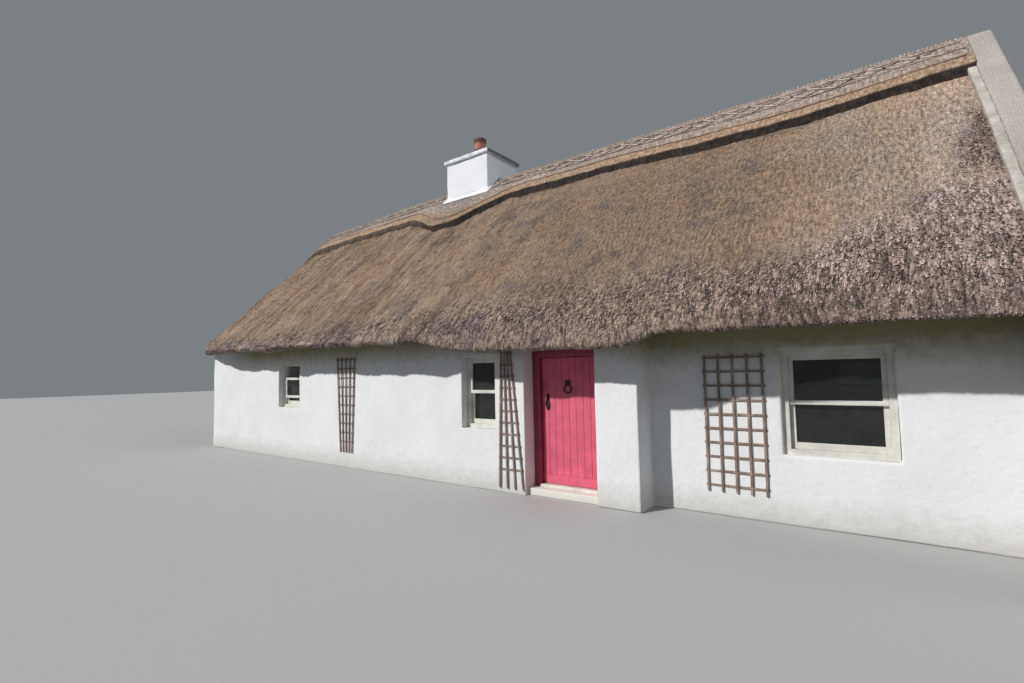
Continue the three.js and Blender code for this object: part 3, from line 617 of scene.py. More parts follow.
def tube(path, radius, sides):
    """A closed round rod along a path, with a pointed cap at each end."""
    along = unit(np.gradient(path, axis=0))
    reference = np.array([0.0, 0.0, 1.0]) if abs(along[0][2]) < 0.9 else np.array([1.0, 0.0, 0.0])
    across = unit(np.cross(along, reference))
    up = np.cross(across, along)
    turns = np.linspace(0.0, 2.0 * np.pi, sides, endpoint=False)[None, :, None]
    ring = np.cos(turns) * across[:, None, :] + np.sin(turns) * up[:, None, :]
    radii = np.broadcast_to(radius, len(path))
    points = path[:, None, :] + ring * radii[:, None, None]
    count = len(path)
    index = np.arange(count * sides).reshape(count, sides)
    after = np.roll(index, -1, axis=1)
    a, b, c, d = index[:-1], after[:-1], after[1:], index[1:]
    walls = np.concatenate([np.stack([a, b, c], -1).reshape(-1, 3), np.stack([a, c, d], -1).reshape(-1, 3)])
    tips = np.stack([path[0] - along[0] * radii[0] * 0.5, path[-1] + along[-1] * radii[-1] * 0.5])
    low, high = count * sides, count * sides + 1
    caps = [np.stack([np.full(sides, low), after[0], index[0]], -1),
            np.stack([np.full(sides, high), index[-1], after[-1]], -1)]
    faces = np.concatenate([walls, *caps])
    return np.concatenate([points.reshape(-1, 3), tips]), faces[:, ::-1]


# Straw roof
FRONT_ROWS, BACK_ROWS = 110, 80
NOSE_ROWS, LIP_ROWS, SOFFIT_ROWS = 26, 6, 16
FRONT_SEED, BACK_SEED = 3, 23
FINENESS_CHANGE_X = 2.0
EDGE_TRIM = 0.45


def skin_surface(x, slope_rows, side):
    """Points of the straw skin: down the slope, over the nose and the lip, and in under the eaves."""
    low = SHOULDER_DISTANCE - CORNER_SET_BACK / 2 * corner_share(x)
    shoulder = skin_height(x, low)
    nose = nose_distance(x)
    drip = eaves_height(x)
    bend = shoulder - NOSE_SLOPE * (nose - low)
    rows = [(low * t, skin_height(x, low * t)) for t in np.linspace(0.0, 1.0, slope_rows)]
    for t in np.linspace(0.0, 1.0, NOSE_ROWS)[1:]:
        rows.append((curve3(low, nose, nose, t), curve3(shoulder, bend, drip + LIP, t)))
    for t in np.linspace(0.0, 1.0, LIP_ROWS)[1:]:
        rows.append((curve3(nose, nose - 0.006, nose - LIP, t), curve3(drip + LIP, drip + 0.006, drip, t)))
    for t in np.linspace(0.0, 1.0, SOFFIT_ROWS)[1:]:
        rows.append((nose - LIP + (WALL_FACE - nose + LIP) * t, drip + (WALL_HEAD - drip) * t))
    return np.array([roof_points(x, d, z, side) for d, z in rows])


def coat_shares(x, way):
    """Shares of the coat's finish: rough over the eaves, light at the right end, blue-grey in patches."""
    low_down = way - 4.15 + 0.45 * smooth(5.1, 6.2, x) - 0.15 * smooth(2.5, 0.5, x)
    low_down = low_down - 0.25 * smooth(0.5, -1.5, x)
    soft = 0.5 + 0.35 * smooth(4.8, 6.0, x)
    rough = smooth(-soft, 0.3, low_down + 0.22 * layered(201, 3, x / 0.7, way / 0.5))
    beside_wall = smooth(6.3, 6.5, x + 0.16 * noise(203, x / 0.2, way / 0.3)) * smooth(1.7, 2.1, way)
    beside_wall = beside_wall * smooth(3.6, 2.9, way)
    rough = np.maximum(rough, 0.9 * beside_wall)
    light = smooth(4.7, 6.1, x + 0.4 * layered(211, 2, x / 0.9, way / 0.9))
    light = light * (0.65 + 0.35 * smooth(5.9, 6.4, x))
    light = light * (1.0 - 0.75 * smooth(-0.5, 0.5, low_down)) * (1.0 - 0.8 * beside_wall)
    streaks = 0.45 * noise(221, x / 0.1, way / 0.5)
    under_ridge = 0.5 * smooth(0.3, 0.05, way - 1.37 * block_edge(x))
    under_ridge = under_ridge * smooth(-0.5, 2.0, x) * smooth(5.9, 5.2, x)
    calm = 0.4 * smooth(3.6, 5.2, x) + 0.1 * smooth(0.5, -2.0, x)
    blue = smooth(0.15, 0.85, layered(231, 4, x / 0.5, way / 0.35) + streaks + under_ridge - calm)
    return np.stack([rough, light, blue], axis=-1)


def furrows(x, way):
    """Streaks down the slope, from -1 to 1, and stronger at the left, where rain has combed the coat."""
    share = 0.22 + 0.78 * smooth(2.5, -1.0, x)
    return share * (0.5 * noise(241, x / 0.07, way / 0.4) + 0.5 * noise(242, x / 0.22, way / 1.0))


def weathering(x, way, drip):
    """Change of tone: lighter straw at the left and under the ridge, darker over parts of the drip edge."""
    along = 0.06 - 0.08 * smooth(4.2, 5.0, x) + 0.14 * smooth(0.5, -2.0, x)
    at_edge = 0.05 + 0.2 * smooth(4.0, 5.0, x) + 0.15 * swelling(x, 0.6, 2.6)
    at_ridge = 0.14 * smooth(0.6, 0.15, way - 1.37 * block_edge(x)) * smooth(-1.0, 1.0, x)
    return along + at_ridge - at_edge * smooth(0.55, 0.15, drip - way)


def slope_lengths(surface):
    steps = np.linalg.norm(np.diff(surface, axis=0), axis=-1)
    return np.concatenate([np.zeros((1, surface.shape[1])), np.cumsum(steps, axis=0)])


def rumpled(surface, lengths, side, seed):
    """The skin with the soft waves and small lumps of a hand-laid coat."""
    x = surface[..., 0]
    waves = 0.014 * layered(seed, 2, x / 0.95, lengths / 0.8)
    waves = waves + 0.004 * noise(seed + 5, x / 0.24, lengths / 0.3)
    pillows = 0.014 + 0.016 * smooth(2.5, 0.5, x)
    lumps = pillows * smooth(3.2, 4.0, lengths) * noise(seed + 7, x / 0.32, lengths / 0.5)
    ends = 0.003 * noise(seed + 9, x / 0.07, lengths / 0.09)
    heights = waves + lumps + ends + (0.012 + 0.01 * smooth(1.5, -1.5, x)) * furrows(x, lengths)
    return surface + outward(surface, side) * heights[..., None]


def tuft_arrays(surface, lengths, side, count, rows, size, spread):
    """Straw ends lying on the skin: closed slivers, thin at the buried upper end and blunt below."""
    length, width, lift = size
    row = RANDOM.uniform(rows[0], rows[1] - 1.001, count)
    column = RANDOM.uniform(0, surface.shape[1] - 1.001, count)
    r, c = row.astype(int), column.astype(int)
    fr, fc = (row - r)[:, None], (column - c)[:, None]

    def sample(field):
        top = field[r, c] * (1 - fc) + field[r, c + 1] * fc
        return top * (1 - fr) + (field[r + 1, c] * (1 - fc) + field[r + 1, c + 1] * fc) * fr

    base = sample(surface)
    normal = unit(sample(outward(surface, side)))
    down = unit(sample(np.gradient(surface, axis=0)))
    beside = np.cross(normal, down)
    x = base[:, 0]
    way = sample(lengths[..., None])[:, 0]
    drip = sample(np.broadcast_to(lengths[-SOFFIT_ROWS], lengths.shape)[..., None])[:, 0]
    rough = coat_shares(x, way)[:, 0]
    turn = (RANDOM.normal(0.0, spread, count) * (0.5 + 0.6 * rough))[:, None]
    along = np.cos(turn) * down + np.sin(turn) * beside
    across = np.cos(turn) * beside - np.sin(turn) * down
    short = np.clip((drip - way) / EDGE_TRIM, 0.2, 1.0)
    long = (RANDOM.uniform(*length, count) * short)[:, None]
    wide = (RANDOM.uniform(*width, count) * (0.8 + 0.35 * rough))[:, None]
    high = (RANDOM.uniform(*lift, count) * (0.3 + 0.7 * rough) * short)[:, None]
    points = np.stack([
        base - normal * 0.004,
        base + along * long + across * wide / 2 + normal * high,
        base + along * long - across * wide / 2 + normal * high,
        base + along * long * 0.85 - normal * 0.012,
    ], axis=1).reshape(-1, 3)
    corners = np.array([[0, 1, 2], [0, 3, 1], [0, 2, 3], [1, 3, 2]])
    faces = (np.arange(count)[:, None, None] * 4 + corners).reshape(-1, 3)
    spots = RANDOM.normal(0.0, 1.0, count) * (0.17 + 0.08 * smooth(2.5, -1.0, x) + 0.13 * rough)
    dark = 0.6 * (RANDOM.uniform(0.0, 1.0, count) < 0.12)
    tone = np.clip(0.6 + weathering(x, way, drip) + 0.6 * furrows(x, way) + spots - dark, 0.0, 1.2)
    return points, faces, np.repeat(np.stack([x, way, tone], axis=-1), 4, axis=0)


def thatch_skin(name, x0, x1, step, slope_rows, side, seed, replaced=()):
    """One stretch of the straw coat, as a piece; gives back its points and their ways down the slope."""
    x = np.linspace(x0, x1, round((x1 - x0) / step) + 1)
    plain = skin_surface(x, slope_rows, side)
    lengths = slope_lengths(plain)
    surface = rumpled(plain, lengths, side, seed)
    weathered = weathering(surface[..., 0], lengths, lengths[-SOFFIT_ROWS])
    tone = 0.42 + 0.5 * weathered + 0.5 * furrows(surface[..., 0], lengths)
    mesh = grid_mesh(name, surface, (surface[..., 0], lengths, tone), side > 0)
    add_piece(name, mesh, "thatch", replaced=replaced)
    return surface, lengths


def add_tufts(name, skins, side, count, rows, size, spread):
    tufts = [tuft_arrays(surface, lengths, side, count, rows, size, spread) for surface, lengths in skins]
    points, faces = joined([tuft[:2] for tuft in tufts])
    straw = np.concatenate([tuft[2] for tuft in tufts])
    add_piece(name, mesh_from_arrays(name, points, faces, straw, rounded=False), "thatch")


def lining(name, side):
    """Underside of the straw, from the wall head up to the apex, seen from inside and over the gable."""
    x = np.linspace(ROOF_X0, ROOF_X1, 120)
    t = np.linspace(0.0, 1.0, 40)[:, None]
    d = WALL_FACE * (1 - t) + 0.0002 * t
    z = WALL_HEAD + (INNER_APEX - WALL_HEAD) * t + 0.006 * noise(31, x / 0.2, t * 20)
    mesh = grid_mesh(name, roof_points(x, d, z, side), (x, 5.0 + 4.0 * t, 0.3), side > 0)
    add_piece(name, mesh, "thatch")


def verge_end(name, side, slope_rows, seed):
    """Cut end of the coat over the left gable, from the skin in to the underside."""
    plain = skin_surface(np.array([ROOF_X0, ROOF_X0 + 0.05]), slope_rows, side)
    outer = rumpled(plain, slope_lengths(plain), side, seed)[:, 0]
    d = np.minimum(np.abs(outer[:, 1]), WALL_FACE)
    inner = roof_points(ROOF_X0, d, INNER_APEX + (WALL_HEAD - INNER_APEX) * d / WALL_FACE, side)
    inner[-SOFFIT_ROWS:] = outer[-SOFFIT_ROWS:]
    surface = between(outer, inner, 9)
    t = np.linspace(0.0, 1.0, 9)[None, :]
    bulge = 0.03 * np.sin(np.pi * t) + 0.008 * noise(seed, surface[..., 1] / 0.05, surface[..., 2] / 0.05)
    surface[..., 0] -= bulge * (t > 0) * (t < 1)
    add_piece(name, grid_mesh(name, surface, (surface[..., 1], surface[..., 2], 0.4), side < 0), "thatch")


def add_thatch():
    near = thatch_skin("thatch_front_right", FINENESS_CHANGE_X, ROOF_X1, 0.03, FRONT_ROWS, -1, FRONT_SEED,
                       ("front_thatch",))
    far = thatch_skin("thatch_front_left", ROOF_X0, FINENESS_CHANGE_X, 0.04, FRONT_ROWS, -1, FRONT_SEED)
    back = thatch_skin("thatch_back", ROOF_X0, ROOF_X1, 0.07, BACK_ROWS, 1, BACK_SEED, ("back_thatch",))
    last = FRONT_ROWS + NOSE_ROWS
    fine = ((0.045, 0.085), (0.006, 0.013), (0.005, 0.015))
    coarse = ((0.06, 0.11), (0.009, 0.018), (0.005, 0.015))
    broad = ((0.07, 0.13), (0.012, 0.024), (0.005, 0.015))
    fringe = ((0.06, 0.13), (0.004, 0.01), (0.004, 0.014))
    add_tufts("straw_ends_right", [near], -1, 40000, (14, last), fine, 0.14)
    add_tufts("straw_ends_left", [far], -1, 37000, (14, last), coarse, 0.16)
    add_tufts("straw_ends_back", [back], 1, 23000, (12, BACK_ROWS + NOSE_ROWS), broad, 0.18)
    add_tufts("eaves_fringe", [near, far], -1, 5000, (last - 9, last + 5), fringe, 0.25)
    for side, rows, seed, word in ((-1, FRONT_ROWS, FRONT_SEED, "front"), (1, BACK_ROWS, BACK_SEED, "back")):
        lining(f"thatch_lining_{word}", side)
        verge_end(f"verge_end_{word}", side, rows, seed)


# Block ridge
BLOCK_ROWS, FACE_ROWS = 46, 8
JOINT_WIDTH = 0.022
UNDERCUT = 0.02
STICK_STEP = 0.06
SPAR_PITCH = 0.345
APRON_SPAR_PITCH = 0.085
KNUCKLE_PITCH = 0.045


def steepness(x):
    """Way down the ridge's slope for each metre out from the ridge line."""
    slope = (block_height(x, 0.0) - block_height(x, 0.6)) / 0.6
    return np.sqrt(1.0 + slope * slope)


def crest_height(x, d):
    """Height of the ridge's top, with its crest rounded off."""
    return block_height(x, d) - 0.03 * np.exp(-(d / 0.06) ** 2)


def block_surface(x, side, seed):
    """Top of the ridge from its crest to the cut edge, and the cut face, which falls back under the edge."""
    ragged = 0.012 + 0.012 * smooth(-1.0, -4.0, x)
    edge = block_edge(x) + ragged * noise(seed, x / 0.17) + 0.5 * ragged * noise(seed + 1, x / 0.045)
    d = edge * np.linspace(0.0, 1.0, BLOCK_ROWS)[:, None]
    z = crest_height(x, d) + 0.008 * noise(seed + 2, x / 0.3, d / 0.4) * np.minimum(d / 0.1, 1.0)
    u = np.linspace(0.0, 1.0, FACE_ROWS + 1)[1:, None]
    rough = 0.009 * noise(seed + 4, x / 0.035, u * 5.0)
    low = skin_height(x, edge - UNDERCUT) - 0.03
    face = roof_points(x, edge - UNDERCUT * u + rough, z[-1] + (low - z[-1]) * u, side)
    return np.concatenate([roof_points(x, d, z, side), face])


def add_ridge():
    x = np.linspace(BLOCK_X0, ROOF_X1, 541)
    for side, word in ((-1, "front"), (1, "back")):
        surface = block_surface(x, side, 41)
        lengths = slope_lengths(surface)
        tone = 1.0 - 0.28 * swelling(surface[..., 0], APRON_CENTRE, APRON_HALF_WIDTH)
        # Painted shade and light on the cut face: its tone is near black, as painted shade over the deep
        # straw ends, and painted lighter towards the left end, where it is lit.
        cut_x, _, cut_z = np.moveaxis(surface[BLOCK_ROWS:], -1, 0)
        lit = 0.26 * smooth(-1.6, -2.6, cut_x) * np.linspace(1.2, 0.1, FACE_ROWS)[:, None]
        speckle = 0.02 + 0.09 * noise(47, cut_x / 0.03, cut_z / 0.03)
        tone[BLOCK_ROWS:] = np.maximum(speckle, 0.0) + lit
        tone = np.where(outside(FLAUNCHING_BOX, surface[..., 0], surface[..., 1]) < JOINT_WIDTH, 0.1, tone)
        mesh = grid_mesh("ridge_" + word, surface, (surface[..., 0], lengths, tone), side > 0)
        paint(mesh, "course", np.repeat((lengths / lengths[BLOCK_ROWS - 1]).ravel(), 3))
        add_piece("ridge_" + word, mesh, "ridge_straw", replaced=("block_ridge",) if side < 0 else ())
        end = surface[:, 0]
        inner = end.copy()
        inner[:, 2] = skin_height(end[:, 0], np.abs(end[:, 1])) - 0.05
        cut = between(end, inner, 5)
        mesh = grid_mesh("ridge_end_" + word, cut, (cut[..., 1], cut[..., 2], 0.35), side < 0)
        add_piece("ridge_end_" + word, mesh, "ridge_straw")


def plain_way(x):
    """Way down the slope from the crest to the ridge's plain edge."""
    return plain_edge(x) * steepness(x)


def edge_way(x, inset):
    """Way down the slope from the crest to a line set in from the ridge's real edge."""
    return (block_edge(x) - inset) * plain_way(x) / plain_edge(x)


def ridge_line(x, way, side, lift):
    """A path over the ridge's surface, given by its ways down the slope and lifted a little."""
    d = way / steepness(x)
    path = roof_points(x, d, crest_height(x, d), side)
    path[..., 2] += lift
    return path


def stick(path, radius, sides=5):
    """A rod along the part of a path that lies clear of the chimney, or nothing where little of it does."""
    clear = outside(FLAUNCHING_BOX, path[:, 0], path[:, 1]) > 0.01
    runs = np.split(path, np.flatnonzero(np.diff(clear)) + 1)
    starts = np.cumsum([0] + [len(run) for run in runs[:-1]])
    return [tube(run, radius, sides) for run, free in zip(runs, clear[starts]) if free and len(run) > 2]


def add_ridge_sticks():
    """Liggers, crossed spars between them with a knot where they cross, and knuckles over the crest."""
    liggers, spars, grey_spars, knuckles = [], [], [], []
    for side in (-1, 1):
        for share in (0.25, 0.51):
            start = BLOCK_X0 + 0.05
            while start < ROOF_X1 - 0.3:
                end = min(start + RANDOM.uniform(1.3, 1.9), ROOF_X1 - 0.03)
                x = np.arange(start, end, STICK_STEP)
                wander = share * plain_way(x) + 0.008 * noise(61, x / 0.5) + RANDOM.uniform(-0.006, 0.006)
                liggers += stick(ridge_line(x, wander, side, 0.003), 0.009)
                start = end - STICK_STEP
        x = np.arange(BLOCK_X0 + 0.05, ROOF_X1 - 0.02, STICK_STEP)
        lowest = edge_way(x, 0.17) + 0.01 * noise(63, x / 0.4)
        liggers += stick(ridge_line(x, lowest, side, 0.004), 0.01)
        for centre in np.arange(BLOCK_X0 + 0.25, ROOF_X1 - 0.2, SPAR_PITCH):
            shift = RANDOM.uniform(-0.02, 0.02, 4)
            whole = plain_way(centre)
            for lean, kind, lift in ((1, spars, 0.017), (-1, grey_spars, 0.011)):
                x = centre + lean * np.linspace(-0.17, 0.17, 9) + shift[1 + lean]
                way = np.linspace(0.27, 0.49, 9) * whole + 0.4 * shift[3]
                kind += stick(ridge_line(x, way, side, lift), 0.0075 if lean > 0 else 0.006)
            knot = centre + np.linspace(-0.014, 0.014, 4) + shift[2] / 2
            middle = 0.38 * whole + np.linspace(-0.015, 0.015, 4)
            liggers += stick(ridge_line(knot, middle, side, 0.026), 0.012, 6)
        for centre in np.arange(APRON_CENTRE - 1.15, APRON_CENTRE + 1.2, APRON_SPAR_PITCH):
            for inset in (0.3, 0.4, 0.52):
                middle = centre + RANDOM.uniform(-0.04, 0.04)
                reach = edge_way(middle, inset)
                half, lean = RANDOM.uniform(0.025, 0.06), RANDOM.uniform(-0.5, 0.5)
                x = middle + np.linspace(-half, half, 5)
                way = reach + lean * (x - middle) + RANDOM.uniform(-0.02, 0.02)
                if reach > 0.56 * plain_way(middle):
                    spars += stick(ridge_line(x, way, side, 0.005), RANDOM.uniform(0.004, 0.0075))
    for x in np.arange(BLOCK_X0 + 0.03, ROOF_X1 - 0.02, KNUCKLE_PITCH):
        reach = RANDOM.uniform(0.1, 0.15)
        ways = np.linspace(-reach, reach, 9)
        along = x + RANDOM.uniform(-0.008, 0.008) + np.zeros(9)
        path = ridge_line(along, np.abs(ways), 1, RANDOM.uniform(0.0, 0.007))
        path[:, 1] = np.sign(ways) * np.abs(path[:, 1])
        thick = RANDOM.uniform(0.011, 0.018) * np.sqrt(np.clip(1.15 - (ways / reach) ** 2, 0.1, 1.0))
        if not (STACK_BOX[0].x - 0.13 < x < STACK_BOX[1].x + 0.07):
            knuckles.append(tube(path, thick, 6))
    kinds = {"ligger": liggers, "spar": spars, "grey_spar": grey_spars, "knuckle": knuckles}
    for kind, parts in kinds.items():
        name = f"ridge_{kind}s"
        add_piece(name, mesh_from_arrays(name, *joined(parts)), kind)


# Pieces made from the frame's own solids
JOINT_REACH = 0.002
SHARP = math.radians(30.0)
PLASTER_SEED = 71
FINE_SHARE = 0.2


def shape_of(node_name):
    """The node's solid with its flat faces whole again."""
    shape = bmesh.new()
    shape.from_mesh(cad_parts[node_name].data)
    bmesh.ops.remove_doubles(shape, verts=shape.verts, dist=1e-5)
    bmesh.ops.dissolve_limit(shape, angle_limit=math.radians(1.0), verts=shape.verts, edges=shape.edges)
    return shape


def ease_edges(shape, width, segments=2, joints=()):
    """Rounds the sharp edges, apart from those at joints of (x, foot), where the piece meets another."""
    edges = [e for e in shape.edges if len(e.link_faces) == 2 and e.calc_face_angle(0.0) > SHARP]
    for x, foot in joints:
        edges = [e for e in edges if any(abs(v.co.x - x) > JOINT_REACH or v.co.z < foot - JOINT_REACH
                                         for v in e.verts)]
    bmesh.ops.bevel(shape, geom=edges, offset=width, segments=segments, profile=0.6, affect="EDGES",
                    clamp_overlap=True)


def cut_across(shape, axis, value):
    point, normal = [0.0, 0.0, 0.0], [0.0, 0.0, 0.0]
    point[axis], normal[axis] = value, 1.0
    geometry = shape.verts[:] + shape.edges[:] + shape.faces[:]
    bmesh.ops.bisect_plane(shape, geom=geometry, dist=1e-5, plane_co=point, plane_no=normal)


def cut_up(shape, cell):
    """Cuts the shape by planes, so that its faces are about as wide as the cell at most."""
    places = np.array([v.co[:] for v in shape.verts])
    for axis in range(3):
        low, high = places[:, axis].min(), places[:, axis].max()
        count = max(1, round((high - low) / cell))
        for value in np.linspace(low, high, count + 1)[1:-1]:
            cut_across(shape, axis, value)


def to_mesh(shape, name, smooth_angle=40.0):
    mesh = bpy.data.meshes.new(name)
    shape.to_mesh(mesh)
    shape.free()
    mesh.shade_smooth()
    mesh.set_sharp_from_angle(angle=math.radians(smooth_angle))
    return mesh


def displace(mesh, depth, size, joints):
    """Moves the points along their normals by smooth noise, and never sideways at a joint."""
    places = np.array([v.co[:] for v in mesh.vertices])
    normals = np.array([v.normal[:] for v in mesh.vertices], dtype=np.float32)
    for joint, foot in joints:
        normals[(np.abs(places[:, 0] - joint) < JOINT_REACH) & (places[:, 2] > foot - JOINT_REACH), 0] = 0.0
    x, y, z = (places / size).T
    height = depth * layered(PLASTER_SEED, 2, x, y, z)
    height = height + depth * FINE_SHARE * noise(PLASTER_SEED + 7, 5 * x, 5 * y, 5 * z)
    places = places + unit(normals) * height[:, None]
    places[:, 2] = np.maximum(places[:, 2], 0.0)
    mesh.vertices.foreach_set("co", places.astype(np.float32).ravel())
    mesh.update()


def plastered(name, node_name, material, bevel=0.02, cell=0.07, depth=0.006, size=0.5, joints=()):
    """A wall or other plastered piece: eased corners and an uneven face."""
    shape = shape_of(node_name)
    for _, foot in joints:
        cut_across(shape, 2, foot)
    ease_edges(shape, bevel, 3, joints)
    cut_up(shape, cell)
    mesh = to_mesh(shape, name)
    displace(mesh, depth, size, joints)
    add_piece(name, mesh, material, "house", (node_name,))


def softened(name, node_name, material, width, body="house", segments=2):
    """A frame, rail or lath with its sharp corners eased."""
    shape = shape_of(node_name)
    ease_edges(shape, width, segments)
    add_piece(name, to_mesh(shape, name), material, body, (node_name,))


def block_shape(boxes, width, segments=2):
    """Joined boxes with eased corners, each given by its lowest and highest corner."""
    shape = bmesh.new()
    for low, high in boxes:
        for vertex in bmesh.ops.create_cube(shape, size=1.0)["verts"]:
            vertex.co = [a + (c + 0.5) * (b - a) for a, b, c in zip(low, high, vertex.co)]
    ease_edges(shape, width, segments)
    return shape


def add_walls():
    lintel_low, lintel_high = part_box("wall_over_door")
    joints = [(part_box("left_gable_wall")[1].x, 0.0)]
    joints += [(x, lintel_low.z) for x in (lintel_low.x, lintel_high.x)]
    for name, material, cell in (
        ("front_wall_left", "limewash", 0.07),
        ("front_wall_right", "limewash", 0.07),
        ("wall_over_door", "limewash", 0.07),
        ("back_wall", "limewash", 0.1),
        ("left_gable_wall", "gable_wash", 0.1),
    ):
        plastered(name + "_face", name, material, cell=cell, joints=joints)
    for name, node_name, material, bevel, cell, depth, size in (
        ("party_wall_face", "party_wall", "party_render", 0.025, 0.09, 0.004, 0.2),
        ("stack_face", "chimney_stack", "stack_wash", 0.02, 0.08, 0.005, 0.35),
        ("flaunching_face", "chimney_flaunching", "stack_wash", 0.004, 0.04, 0.003, 0.2),
        ("step_face", "door_step", "step_wash", 0.012, 0.04, 0.003, 0.12),
        ("cap_face", "chimney_cap", "cap_cement", 0.014, 0.05, 0.005, 0.15),
        ("pot_face", "chimney_pot", "clay", 0.003, 0.06, 0.0015, 0.08),
        ("fillet_face_front", "party_wall_fillet_front", "cement", 0.012, 0.05, 0.005, 0.12),
        ("fillet_face_back", "party_wall_fillet_back", "cement", 0.012, 0.05, 0.005, 0.12),
    ):
        plastered(name, node_name, material, bevel, cell, depth, size)


def add_floor():
    """Flagstones of several widths laid in rows on the slab, with open joints."""
    low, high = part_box("floor")
    stack_low, stack_high = STACK_BOX
    joint, border, recess, stone_depth = 0.008, 0.01, 0.012, 0.03
    shape = block_shape([((low.x, low.y, 0.0), (high.x, high.y, high.z - recess))], 0.004)
    y = low.y + border
    while y < high.y - 0.2:
        depth = min(RANDOM.uniform(0.45, 0.7), high.y - border - y)
        in_row = y + depth > stack_low.y and y < stack_high.y
        x = low.x + border
        while x < high.x - 0.15:
            wide = min(RANDOM.uniform(0.5, 0.95), high.x - border - x)
            top = high.z + RANDOM.uniform(-0.0015, 0.0)
            if not (in_row and x + wide > stack_low.x and x < stack_high.x):
                corners = ((x, y, high.z - stone_depth), (x + wide - joint, y + depth - joint, top))
                stone = block_shape([corners], 0.005)
                extra = bpy.data.meshes.new("flag")
                stone.to_mesh(extra)
                stone.free()
                shape.from_mesh(extra)
                bpy.data.meshes.remove(extra)
            x += wide
        y += depth
    mesh = to_mesh(shape, "flagstones")
    places = np.array([v.co[:] for v in mesh.vertices])
    tone = 0.5 + 0.5 * noise(91, places[:, 0] / 0.7, places[:, 1] / 0.6)
    paint(mesh, "straw", np.stack([places[:, 0], places[:, 1], tone], axis=-1))
    add_piece("flagstones", mesh, "flagstone", replaced=("floor",))


# Windows and door
SASH_BAR = 0.045
SASH_DEPTH = 0.04
GLASS_THICKNESS = 0.004
BOARDS = 8
BOARD_GAP = 0.0015
BOARD_GROOVE = 0.0045
BOARD_THICKNESS = 0.026
BOTTOM_RAIL_TOP = 0.238
LEDGE_HEIGHTS = (0.38, 0.93, 1.48)
LEDGE_HALF_HEIGHT = 0.06


def add_window(name, face_sign, parts, lowered=0.0):
    """Panes of one window, one in each sash; its other parts keep their solids with eased edges."""
    glass_low, glass_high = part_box(name + "_glass")
    inner = abs(glass_low.y + glass_high.y) / 2 - GLASS_THICKNESS / 2
    top = glass_high.z + lowered
    middle = (glass_low.z + top) / 2
    upper_y = face_sign * (inner + SASH_DEPTH * 1.5)
    lower_y = face_sign * (inner + SASH_DEPTH * 0.5)
    reach = SASH_BAR - 0.006
    panes = []
    upper = (upper_y, middle - lowered, top - lowered - reach)
    for y, z0, z1 in (upper, (lower_y, glass_low.z + 0.055, middle)):
        panes.append(((glass_low.x + reach, y - GLASS_THICKNESS / 2, z0),
                      (glass_high.x - reach, y + GLASS_THICKNESS / 2, z1)))
    shape = block_shape(panes, 0.0008, 1)
    add_piece(name + "_panes", to_mesh(shape, name + "_panes"), "glass", replaced=(name + "_glass",))
    for part in parts:
        softened(f"{name}_{part}_eased", f"{name}_{part}", "cream_paint", 0.004)


def add_windows():
    for word, lowered in (("left", 0.22), ("middle", 0.0), ("right", 0.0)):
        add_window(word + "_window", -1, ("frame", "sashes"), lowered)
    for number in (1, 2, 3):
        add_window(f"back_window_{number}", 1, ("frame",))


def add_door():
    low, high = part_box("door_leaf")
    board = (high.x - low.x) / BOARDS
    front, behind = low.y, low.y + BOARD_THICKNESS
    boards = [((low.x, front, low.z), (high.x, behind, BOTTOM_RAIL_TOP))]
    for number in range(BOARDS):
        x = low.x + number * board
        boards.append(((x + BOARD_GAP / 2, front, BOTTOM_RAIL_TOP + BOARD_GAP),
                       (x + board - BOARD_GAP / 2, behind, high.z)))
    shape = block_shape(boards, BOARD_GROOVE, 1)
    add_piece("door_boards", to_mesh(shape, "door_boards", 25.0), "door_paint", "door", ("door_leaf",))
    ledges = [((low.x + 0.03, behind - 0.002, height - LEDGE_HALF_HEIGHT),
               (high.x - 0.03, high.y, height + LEDGE_HALF_HEIGHT)) for height in LEDGE_HEIGHTS]
    add_piece("door_ledges", to_mesh(block_shape(ledges, 0.006), "door_ledges"), "door_paint", "door")
    softened("door_frame_eased", "door_frame", "frame_paint", 0.006)
    softened("threshold_eased", "door_threshold", "cream_paint", 0.006)
    softened("latch_eased", "door_handle", "black_iron", 0.0012, "door", 1)
    softened("knocker_eased", "door_knocker", "black_iron", 0.0012, "door", 1)
    for word in ("lower", "upper"):
        softened("strap_eased_" + word, "door_strap_" + word, "black_iron", 0.001, "door", 1)
        softened("pintle_eased_" + word, "door_pintle_" + word, "black_iron", 0.001, "house", 1)


def add_trellises():
    for word in ("fan", "door", "square"):
        softened(word + "_trellis_laths", word + "_trellis", "weathered_wood", 0.0025, "house", 1)


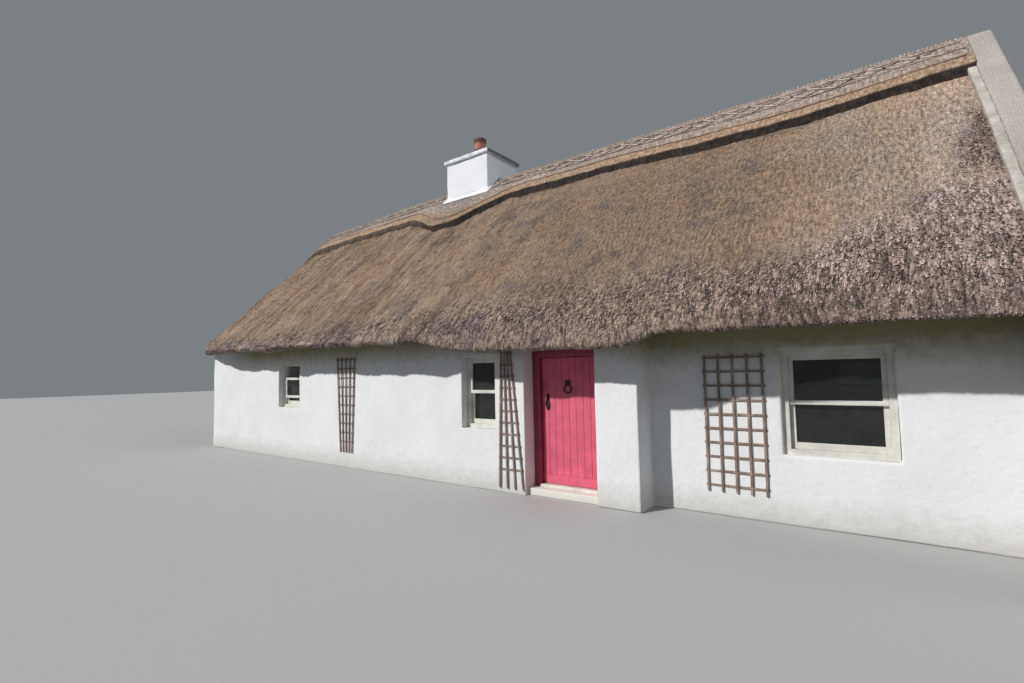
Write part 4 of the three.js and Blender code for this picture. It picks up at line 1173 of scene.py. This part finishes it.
# Setting
def add_turned(name, data, matrix):
    holder = bpy.data.objects.new(name, data)
    SCENE.collection.objects.link(holder)
    holder.matrix_world = matrix
    return holder


def add_sun(name, towards, energy, angle, colour):
    """A lamp far away in a direction, with its width in degrees."""
    sun = bpy.data.lights.new(name, "SUN")
    sun.energy = energy
    sun.angle = math.radians(angle)
    sun.color = colour
    add_turned(name, sun, Vector(towards).to_track_quat("Z", "Y").to_matrix().to_4x4())


def add_setting():
    reach = 60.0
    corners = [(-reach, -reach, 0.0), (reach, -reach, 0.0), (reach, reach, 0.0), (-reach, reach, 0.0)]
    ground = bpy.data.meshes.new("studio_floor")
    ground.from_pydata(corners, [], [(0, 1, 2, 3)])
    ground.materials.append(begin("studio_floor", 0.9, {"Base Color": (0.47, 0.47, 0.465, 1.0)})[0])
    floor = bpy.data.objects.new("studio_floor", ground)
    SCENE.collection.objects.link(floor)
    floor.visible_diffuse = False
    world = bpy.data.worlds.new("studio")
    world.use_nodes = True
    world.node_tree.nodes["Background"].inputs["Color"].default_value = (0.85, 0.92, 0.98, 1.0)
    world.node_tree.nodes["Background"].inputs["Strength"].default_value = 0.235
    SCENE.world = world
    add_sun("key", (-0.40, -0.737, 0.545), 3.15, 1.5, (1.0, 0.99, 0.975))
    add_sun("fill", (0.75, 0.05, 0.65), 0.6, 40.0, (0.86, 0.94, 1.0))
    SCENE.view_settings.view_transform = "Standard"


def add_camera():
    """Camera at the photograph's place, turned 36.9 degrees to the left of the wall's normal."""
    yaw, pitch, roll = 0.6436, 0.06, -0.0194
    place = (5.7971, -8.1878, 1.5429)
    camera = bpy.data.cameras.new("camera")
    camera.lens = 18.0
    camera.sensor_width = 36.0
    camera.clip_end = 200.0
    level = Matrix.Translation(place) @ Matrix.Rotation(yaw, 4, "Z")
    tilted = level @ Matrix.Rotation(math.pi / 2 + pitch, 4, "X") @ Matrix.Rotation(roll, 4, "Z")
    SCENE.camera = add_turned("camera", camera, tilted)


add_camera()
add_thatch()
add_ridge()
add_ridge_sticks()
add_walls()
add_floor()
add_windows()
add_door()
add_trellises()
add_setting()
